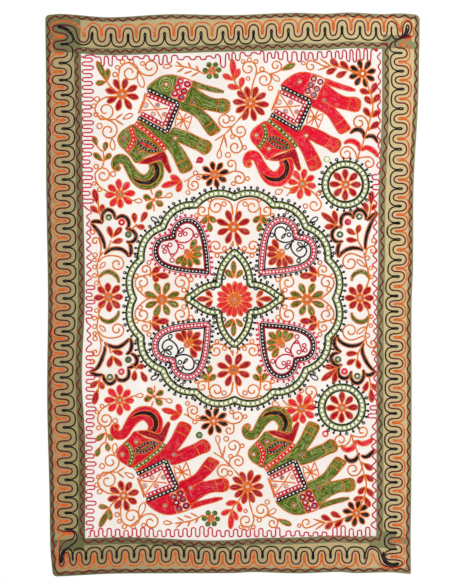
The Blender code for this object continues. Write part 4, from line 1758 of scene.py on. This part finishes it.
def sheet_mesh(name, front, back, uvs):
    """A closed thin sheet from two grids of points, joined round their rims."""
    rows, columns = front.shape[:2]
    points = np.vstack([front.reshape(-1, 3), back.reshape(-1, 3)])
    a = (np.arange(rows - 1)[:, None] * columns + np.arange(columns - 1)[None, :]).reshape(-1)
    quads = np.stack([a, a + columns, a + columns + 1, a + 1], axis=-1)
    other = rows * columns
    number = np.arange(other).reshape(rows, columns)
    rim = np.concatenate([number[0], number[1:, -1], number[-1, -2::-1], number[-2:0:-1, 0]])
    after = np.roll(rim, -1)
    sides = np.stack([rim, after, after + other, rim + other], axis=-1)
    quads = np.vstack([quads, quads[:, ::-1] + other, sides])
    return add_piece(name, points, quads, np.tile(uvs.reshape(-1, 2), (2, 1)))


def add_object(name, data, place=(0, 0, 0), turn=(0, 0, 0)):
    made = bpy.data.objects.new(name, data)
    made.location = place
    made.rotation_euler = turn
    bpy.context.scene.collection.objects.link(made)
    return made


def add_piece(name, points, quads, uvs):
    """A smooth mesh of quads with a UV map."""
    mesh = bpy.data.meshes.new(name)
    mesh.vertices.add(len(points))
    mesh.vertices.foreach_set("co", np.asarray(points, np.float32).ravel())
    mesh.loops.add(quads.size)
    mesh.loops.foreach_set("vertex_index", quads.astype(np.int32).ravel())
    mesh.polygons.add(len(quads))
    mesh.polygons.foreach_set("loop_start", np.arange(0, quads.size, 4, dtype=np.int32))
    mesh.polygons.foreach_set("loop_total", np.full(len(quads), 4, np.int32))
    layer = mesh.uv_layers.new(name="Thread")
    layer.data.foreach_set("uv", np.asarray(uvs, np.float32)[quads.ravel()].ravel())
    mesh.update(calc_edges=True)
    mesh.validate()
    mesh.shade_smooth()
    return add_object(name, mesh)


def field_sheet():
    """The ivory panel on its folds, with its edges under the strips."""
    columns, rows = (int(size / CLOTH_STEP) for size in FIELD_FLAT)
    u, v = np.meshgrid(np.linspace(0, 1, columns), np.linspace(0, 1, rows))
    # A first guess, which each round below draws closer to the strips' inner edges
    across, down = (u - 0.5) * 0.8, v * HEIGHT
    for _ in range(4):
        left = strip_width("left", down) - LAP - WIDTH / 2
        right = WIDTH / 2 - strip_width("right", down) + LAP
        top = strip_width("top", across) - LAP
        bottom = HEIGHT - strip_width("bottom", across) + LAP
        across, down = left + (right - left) * u, top + (bottom - top) * v
    front, back = placed(across, down, 0.0), placed(across, down, -FIELD_THICK)
    return sheet_mesh("field_cloth", front, back, np.stack([across, down], axis=-1)), FIELD_FLAT


def hem_section(width):
    """A strip's section: distance in from its outer edge, and depth behind its face."""
    outer = STRIP_THICK + HEM_GAP / 2
    count = int((width - outer) / CLOTH_STEP)
    face = sorted([outer + (width - outer) * k / count for k in range(count + 1)] + list(FINE_CUTS))
    section = [(d, 0.0) for d in face]
    section += [(d, STRIP_THICK) for d in reversed(face)]
    section.append((outer - HEM_GAP / 2, outer))
    hem_back = 2 * STRIP_THICK + HEM_GAP
    section += [(outer, STRIP_THICK + HEM_GAP), (HEM_WIDTH, STRIP_THICK + HEM_GAP)]
    section += [(HEM_WIDTH, hem_back), (outer, hem_back)]
    for k in range(1, 6):
        turn = math.pi * k / 6
        section.append((outer - outer * math.sin(turn), outer + outer * math.cos(turn)))
    return np.array(section)


def strip_sheet(side):
    """One olive strip with its folded hem, swept along its side."""
    ends = side in ("top", "bottom")
    if ends:
        start, end = -WIDTH / 2, WIDTH / 2
    else:
        middle = -WIDTH / 2 if side == "left" else WIDTH / 2
        start = float(strip_width("top", middle)) - CORNER_LAP
        end = HEIGHT - float(strip_width("bottom", middle)) + CORNER_LAP
    stations = np.linspace(start, end, int((end - start) / CLOTH_STEP))
    fine = np.array(FINE_CUTS)
    stations = np.unique(np.concatenate([stations, start + fine, end - fine]))
    widths = strip_width(side, stations)
    template = hem_section(float(widths.mean()))
    share = np.clip(template[:, 0] / float(widths.mean()), 0, 1)
    moving = template[:, 0] > HEM_WIDTH + 1 * MM
    inward = np.where(moving, share * widths[:, None], template[:, 0])
    depth = np.broadcast_to(template[:, 1], inward.shape)
    along = np.broadcast_to(stations[:, None], inward.shape)
    if ends:
        across, down = along, inward if side == "top" else HEIGHT - inward
        lift = corner_rise(along) - depth
    else:
        across, down = (inward - WIDTH / 2 if side == "left" else WIDTH / 2 - inward), along
        lift = SIDE_LIFT - depth
    points = placed(across, down, lift).reshape(-1, 3)
    around, count = len(template), len(stations)
    a = np.arange(count - 1)[:, None] * around + np.arange(around)[None, :]
    b = np.arange(count - 1)[:, None] * around + (np.arange(around)[None, :] + 1) % around
    quads = np.stack([a, b, b + around, a + around], axis=-1).reshape(-1, 4)
    from_edge = np.minimum(inward, np.minimum(along - start, end - along)) if ends else inward
    uvs = np.stack([from_edge, widths[:, None] - inward], axis=-1).reshape(-1, 2)
    piece = add_piece(f"{side}_strip", points, quads, uvs)
    close_up(piece)
    return piece, (float(widths.mean()) + HEM_WIDTH, end - start)


def close_up(piece):
    """Closes a swept piece's ends and turns its faces outwards."""
    shape = bmesh.new()
    shape.from_mesh(piece.data)
    edges = [e for e in shape.edges if e.is_boundary]
    bmesh.ops.holes_fill(shape, edges=edges, sides=0)
    bmesh.ops.recalc_face_normals(shape, faces=shape.faces)
    shape.to_mesh(piece.data)
    shape.free()
    piece.data.shade_smooth()


def thread_pieces():
    """One mesh for each colour and area of embroidery."""
    pieces = []
    for (colour, area), gathered in HEAPS.items():
        points = on_cloth(np.vstack(gathered.points), np.concatenate(gathered.heights))
        piece = add_piece(f"{area}_{colour}", points, np.vstack(gathered.quads), np.vstack(gathered.uvs))
        piece.data.materials.append(thread_material(colour))
        pieces.append((piece, THREADS[colour][0]))
    return pieces


SEQUIN_RADIUS = 3.6 * MM
SEQUIN_SIDES = 14
SEQUIN_TONES = 8
SEQUIN_RISE = 0.6 * MM
# A sequin's rings from its hole to its rim: share of its radius, and height in shares of SEQUIN_RISE
SEQUIN_RINGS = ((0.18, 0.55), (0.55, 0.75), (0.93, 1.05), (1.0, 0.7))


def sequin_piece():
    """All the sequins, each a thin dished disc."""
    points, quads, uvs = [], [], []
    for x, y, lift in SEQUINS:
        base, tone = len(points), random.randrange(SEQUIN_TONES)
        tilt, lean = random.uniform(0, 2 * math.pi), random.uniform(0.02, 0.12)
        (cx, cy, cz), = on_cloth(np.array([[x, y]]), np.array([lift * MM]))
        for share, height in SEQUIN_RINGS:
            for k in range(SEQUIN_SIDES):
                dx, dz = polar(0, 0, SEQUIN_RADIUS * share, 360 * k / SEQUIN_SIDES)
                rise = height * SEQUIN_RISE + lean * (dx * math.cos(tilt) + dz * math.sin(tilt))
                points.append((cx + dx, cy - rise, cz + dz))
                uvs.append((tone + 0.5 + 0.4 * dx / SEQUIN_RADIUS, dz / SEQUIN_RADIUS))
        for low in range(base, len(points) - SEQUIN_SIDES, SEQUIN_SIDES):
            for k in range(SEQUIN_SIDES):
                after = (k + 1) % SEQUIN_SIDES
                high = low + SEQUIN_SIDES
                quads.append((low + k, low + after, high + after, high + k))
    return add_piece("sequins", np.array(points), np.array(quads), np.array(uvs))


# Materials


class Value:
    """A number, vector or colour that a material's nodes work out, with the usual signs for sums."""

    def __init__(self, nodes, socket):
        self.nodes, self.socket = nodes, socket

    def __add__(self, other):
        return self.nodes.maths("ADD", self, other)

    def __sub__(self, other):
        return self.nodes.maths("SUBTRACT", self, other)

    def __rsub__(self, other):
        return self.nodes.maths("SUBTRACT", other, self)

    def __mul__(self, other):
        return self.nodes.maths("MULTIPLY", self, other)


class Nodes:
    """A material's node tree, with short calls to add to it."""

    def __init__(self, name):
        self.material = bpy.data.materials.new(name)
        self.material.use_nodes = True
        self.tree = self.material.node_tree

    def put(self, value, socket):
        if isinstance(value, Value):
            self.tree.links.new(value.socket, socket)
        else:
            socket.default_value = value

    def add(self, kind, inputs, output=0, **settings):
        """The output of a new node."""
        node = self.tree.nodes.new(f"ShaderNode{kind}")
        for key, value in settings.items():
            setattr(node, key, value)
        for key, value in inputs.items():
            self.put(value, node.inputs[key])
        return Value(self, node.outputs[output])

    def maths(self, operation, a, b=0.5, clamp=False):
        return self.add("Math", {0: a, 1: b}, operation=operation, use_clamp=clamp)

    def mix(self, share, a, b):
        """Colour a, or b where share is 1."""
        return self.add("Mix", {0: share, 6: a, 7: b}, output=2, data_type="RGBA")

    def noise(self, place, scale, detail=3.0):
        return self.add("TexNoise", {"Vector": place, "Scale": scale, "Detail": detail})

    def ramp(self, value, low, high):
        """0 below low, 1 above high and smooth between."""
        return self.add("MapRange", {0: value, 1: low, 2: high}, interpolation_type="SMOOTHSTEP")

    def parts(self, vector):
        """A vector's x, y and z."""
        node = self.add("SeparateXYZ", {0: vector}).socket.node
        return [Value(self, output) for output in node.outputs]

    def place(self):
        """The place in the object's own metres."""
        return self.add("TexCoord", {}, output="Object")

    def thread_uv(self):
        """The place in the piece's own map, and a third part that isn't used."""
        return self.parts(self.add("UVMap", {}, uv_map="Thread"))

    def slubs(self, place, scale):
        """Thick places in the cloth's threads."""
        return self.noise(self.add("Mapping", {"Vector": place, "Scale": scale}), 1.0)

    def weave(self, place, pitch):
        """A plain weave's height over the face."""
        x, _, z = self.parts(place)
        turns = 2 * math.pi / pitch
        return self.maths("SINE", x * turns) * self.maths("SINE", z * turns)

    def bump(self, height, strength, distance):
        return self.add("Bump", {"Height": height, "Strength": strength, "Distance": distance})

    def surface(self, **inputs):
        """The finished material. An input's name has _ for its spaces."""
        shader = self.tree.nodes["Principled BSDF"]
        for name, value in inputs.items():
            self.put(value, shader.inputs[name.replace("_", " ")])
        return self.material


def linear(red, green, blue):
    """A colour of 0 to 255 as the shader's own values."""
    def one(value):
        value /= 255
        return value / 12.92 if value <= 0.04045 else ((value + 0.055) / 1.055) ** 2.4
    return one(red), one(green), one(blue), 1.0


# Each thread: its material slot, its usual, its light and its dark colour, and how much its painted sheen
# highlights show
THREADS = {
    "orange": ("orange_thread", (234, 116, 34), (244, 148, 72), (208, 88, 16), 0.5),
    "gold": ("orange_thread", (226, 120, 30), (240, 150, 72), (196, 92, 14), 0.4),
    "green": ("green_thread", (78, 98, 10), (154, 168, 82), (40, 58, 2), 0.45),
    "pale_green": ("green_thread", (176, 190, 102), (212, 220, 150), (138, 156, 70), 0.7),
    "red": ("red_thread", (238, 2, 44), (248, 56, 84), (196, 0, 26), 0.5),
    "deep_red": ("red_thread", (224, 0, 42), (236, 34, 68), (176, 0, 26), 0.35),
    "maroon": ("maroon_thread", (170, 0, 26), (204, 36, 64), (116, 0, 12), 0.35),
    # A thread only for painted highlights on red and maroon petals and fills
    "rose": ("maroon_thread", (216, 72, 98), (236, 128, 148), (184, 36, 66), 0.4),
    "crimson": ("maroon_thread", (206, 14, 56), (224, 64, 96), (162, 4, 36), 0.4),
    "bright_crimson": ("maroon_thread", (226, 30, 72), (238, 84, 116), (184, 10, 48), 0.4),
    "border_orange": ("orange_thread", (222, 100, 40), (232, 132, 72), (184, 74, 22), 0.35),
    "border_maroon": ("maroon_thread", (106, 10, 26), (134, 38, 50), (74, 4, 16), 0.2),
    "black": ("black_thread", (16, 12, 14), (58, 52, 58), (5, 3, 4), 0.25),
    "white": ("white_thread", (250, 248, 240), (255, 254, 250), (222, 216, 204), 0.5),
    "cream": ("white_thread", (248, 248, 232), (253, 253, 244), (224, 226, 192), 0.5),
}


def thread_material(colour):
    """Chain stitch: each stitch is a loop of two twisted strands that close at its ends. Its colour has
    painted shade in the hollows and painted sheen highlights on short runs.
    """
    name = f"{colour}_thread"
    if name in bpy.data.materials:
        return bpy.data.materials[name]
    _, *shades, sheen_share = THREADS[colour]
    usual, light, dark = (linear(*shade) for shade in shades)
    nodes = Nodes(name)
    place = nodes.add("NewGeometry", {}, output="Position")
    along, row, _ = nodes.thread_uv()
    line = nodes.maths("FLOOR", row)
    stitch_number = nodes.add("CombineXYZ", {0: nodes.maths("FLOOR", along), 1: line})
    chance = nodes.add("TexWhiteNoise", {"Vector": stitch_number})
    across = nodes.maths("ABSOLUTE", nodes.maths("FRACT", row) - 0.5)
    mouth = nodes.maths("SINE", nodes.maths("FRACT", along) * math.pi)
    groove = (1.0 - nodes.ramp(across, 0.0, mouth * 0.13 + 0.02)) * nodes.ramp(mouth, 0.15, 0.6)
    joint = 1.0 - nodes.ramp(mouth, 0.0, 0.32)
    # Painted shade: the groove down each stitch's middle and the joints between stitches are darkened in
    # the colour, and also dented in the bump
    shaded_hollow = nodes.maths("MAXIMUM", groove * 0.75, joint * 0.6)
    twist = nodes.maths("SINE", (along * 5.0 + across * 7.0) * (2 * math.pi))
    fibre = nodes.noise(place, 2600.0, 2.0)
    tone = nodes.mix(nodes.ramp(chance * 0.6 + nodes.noise(place, 34.0) * 0.5, 0.35, 0.9), usual, light)
    # Painted sheen highlights: short pale runs along some rows, in patches, mixed towards the light colour
    # and cream
    run_place = nodes.add("CombineXYZ", {0: along * 0.2, 1: line * 3.7})
    runs = nodes.ramp(nodes.noise(run_place, 1.0, 0.0), 0.58, 0.63)
    sheen_patches = nodes.ramp(nodes.noise(place, 62.0, 1.0), 0.42, 0.5)
    tone = nodes.mix(runs * sheen_patches * sheen_share, tone, nodes.mix(0.3, light, linear(255, 246, 226)))
    row_chance = nodes.add("TexWhiteNoise", {"W": line}, noise_dimensions="1D")
    # Darker in places: whole rows at random, the painted shade of the hollows, and the crests of the twist
    for share in (nodes.ramp(row_chance, 0.4, 1.0) * 0.4, shaded_hollow, nodes.ramp(twist, 0.2, 1.0) * 0.28):
        tone = nodes.mix(share, tone, dark)
    relief = nodes.bump(twist * 0.12 + fibre * 0.15 - shaded_hollow * 0.8, 0.7, 0.0006)
    rough = fibre * 0.2 + 0.5
    return nodes.surface(Base_Color=tone, Normal=relief, Roughness=rough, Specular_IOR_Level=0.1)


def ivory_material():
    nodes = Nodes("ivory_cloth")
    place = nodes.place()
    slubs = nodes.slubs(place, (900, 900, 60))
    mottle = nodes.ramp(nodes.noise(place, 9.0, 4.0), 0.35, 0.7)
    tone = nodes.mix(mottle, linear(246, 241, 236), linear(240, 233, 226))
    tone = nodes.mix(nodes.ramp(slubs, 0.55, 0.8) * 0.35, tone, linear(226, 216, 204))
    creases = nodes.noise(place, 38.0, 2.0)
    relief = nodes.bump(nodes.weave(place, 1.1 * MM) * 0.5 + creases * 3.0 + slubs, 0.5, 0.0004)
    matt = {"Roughness": 0.88, "Sheen_Weight": 0.08, "Specular_IOR_Level": 0.2}
    return nodes.surface(Base_Color=tone, Normal=relief, **matt)


# Where the strips' cloth lies double at the corners: left, top, right and bottom in the photograph
DOUBLE_PATCHES = ((49, 15, 80.5, 48), (383, 35, 412, 48), (57, 540, 84, 551), (369, 531, 396, 548))
LAP_SHOWS = 19 * MM


def olive_material():
    """Fine olive cotton, darker where the cloth lies double: hem, inner seam and corner patches. Painted
    light makes it lighter towards the right and the top.
    """
    nodes = Nodes("olive_cloth")
    place = nodes.place()
    x, _, z = nodes.parts(place)
    inward, from_inner, _ = nodes.thread_uv()
    ragged = (nodes.noise(place, 30.0) - 0.5) * (5 * MM)
    hem = 1.0 - nodes.ramp(inward + ragged, HEM_WIDTH - 0.6 * MM, HEM_WIDTH)
    lap = 1.0 - nodes.ramp(from_inner + ragged, LAP_SHOWS - 0.8 * MM, LAP_SHOWS)
    double = nodes.maths("MAXIMUM", hem, lap)
    for left, top, right, bottom in DOUBLE_PATCHES:
        west, east = ((edge - PHOTO_MIDDLE_X) * PIXEL - MIDDLE_X for edge in (left, right))
        over, under = (-(edge - PHOTO_TOP_Y) * PIXEL for edge in (top, bottom))
        between_sides = nodes.maths("GREATER_THAN", x, west) * nodes.maths("LESS_THAN", x, east)
        between_ends = nodes.maths("LESS_THAN", z, over) * nodes.maths("GREATER_THAN", z, under)
        double = nodes.maths("MAXIMUM", double, between_sides * between_ends)
    # Painted light: the strips lighter towards the right and the top, as lit from the upper right, with
    # some random tone
    painted_light_slope = nodes.maths("ADD", x * 0.85 + z * 0.26 + 0.6, nodes.noise(place, 7.0, 5.0) * 0.16, clamp=True)
    single = nodes.mix(painted_light_slope, linear(162, 146, 102), linear(212, 192, 142))
    doubled = nodes.mix(painted_light_slope, linear(104, 104, 66), linear(144, 142, 100))
    slubs = nodes.ramp(nodes.slubs(place, (700, 700, 50)), 0.5, 0.8)
    tone = nodes.mix(slubs * 0.3, nodes.mix(double, single, doubled), linear(110, 102, 66))
    relief = nodes.bump(nodes.weave(place, 0.9 * MM) * 0.5 + nodes.noise(place, 40.0) + double, 0.5, 0.0005)
    matt = {"Roughness": 0.85, "Sheen_Weight": 0.1, "Specular_IOR_Level": 0.2}
    return nodes.surface(Base_Color=tone, Normal=relief, **matt)


def sequin_material():
    nodes = Nodes("sequin")
    scratches = nodes.noise(nodes.place(), 900.0, 4.0)
    tone_place, _, _ = nodes.thread_uv()
    chance = nodes.maths("DIVIDE", nodes.maths("FLOOR", tone_place), SEQUIN_TONES - 1.0)
    tone = nodes.mix(chance, linear(108, 120, 156), linear(236, 238, 242))
    tone = nodes.mix(scratches * 0.25, tone, linear(96, 108, 128))
    relief = nodes.bump(scratches, 0.3, 0.0003)
    return nodes.surface(Base_Color=tone, Normal=relief, Roughness=scratches * 0.25 + 0.22, Metallic=0.9)


def floor_material():
    nodes = Nodes("studio_floor")
    tone = nodes.mix(nodes.noise(nodes.place(), 3.0), linear(238, 237, 234), linear(230, 229, 226))
    return nodes.surface(Base_Color=tone, Roughness=0.9)


# Studio

CAMERA_DISTANCE = 5.7
SENSOR = 36.0
FLOOR_SIZE = 5.0
FLOOR_PLACE = (0, -1.0, -1.80)
AMBIENT = 0.52
# Lights: name, place, power and size. They look at LIT_PLACE.
LIGHTS = (
    ("key", (2.5, -3.7, 0.5), 92, 1.6),
    ("fill", (-3.0, -3.4, -0.9), 50, 2.4),
    ("back", (1.5, 3.4, 1.2), 60, 2.4),
)
LIT_PLACE = (0, 0, -0.75)


def camera():
    data = bpy.data.cameras.new("camera")
    data.sensor_fit = "VERTICAL"
    data.sensor_height = SENSOR
    data.lens = SENSOR * CAMERA_DISTANCE / (PHOTO_SIZE[1] * PIXEL)
    x = (PHOTO_SIZE[0] / 2 - PHOTO_MIDDLE_X) * PIXEL - MIDDLE_X
    z = -(PHOTO_SIZE[1] / 2 - PHOTO_TOP_Y) * PIXEL
    level = (math.radians(90), 0, 0)
    bpy.context.scene.camera = add_object("camera", data, (x, -CAMERA_DISTANCE, z), level)


def lights():
    for name, place, power, size in LIGHTS:
        data = bpy.data.lights.new(name, "AREA")
        data.energy = power
        data.size = size
        aim = (Vector(LIT_PLACE) - Vector(place)).to_track_quat("-Z", "Y")
        add_object(name, data, place, aim.to_euler())


def world():
    """White round the cloth, and a softer white that lights it."""
    made = bpy.data.worlds.new("studio")
    bpy.context.scene.world = made
    made.use_nodes = True
    tree = made.node_tree
    background = tree.nodes["Background"]
    background.inputs["Color"].default_value = (1.0, 1.0, 1.0, 1.0)
    seen = tree.nodes.new("ShaderNodeLightPath")
    strength = tree.nodes.new("ShaderNodeMapRange")
    tree.links.new(seen.outputs["Is Camera Ray"], strength.inputs["Value"])
    strength.inputs["To Min"].default_value = AMBIENT
    strength.inputs["To Max"].default_value = 1.0
    tree.links.new(strength.outputs[0], background.inputs["Strength"])


def floor():
    half = FLOOR_SIZE / 2
    corners = [(-half, -half, 0), (half, -half, 0), (half, half, 0), (-half, half, 0)]
    mesh = bpy.data.meshes.new("floor")
    mesh.from_pydata(corners, [], [(0, 1, 2, 3)])
    mesh.materials.append(floor_material())
    plane = add_object("floor", mesh, FLOOR_PLACE)


def main():
    cloths = [(*field_sheet(), "field_panel", "ivory_cloth")]
    for side in ("top", "bottom", "left", "right"):
        cloths.append((*strip_sheet(side), f"border_{side}", "olive_cloth"))
    finishes = {"ivory_cloth": ivory_material(), "olive_cloth": olive_material()}
    for piece, flat, node, slot in cloths:
        piece.data.materials.append(finishes[slot])
        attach(piece, "root")
        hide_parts(node)
    border()
    edging()
    field()
    for piece, slot in thread_pieces():
        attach(piece, "root")
    discs = sequin_piece()
    discs.data.materials.append(sequin_material())
    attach(discs, "root")
    camera()
    lights()
    world()
    floor()
    bpy.context.scene.view_settings.view_transform = "Standard"


main()
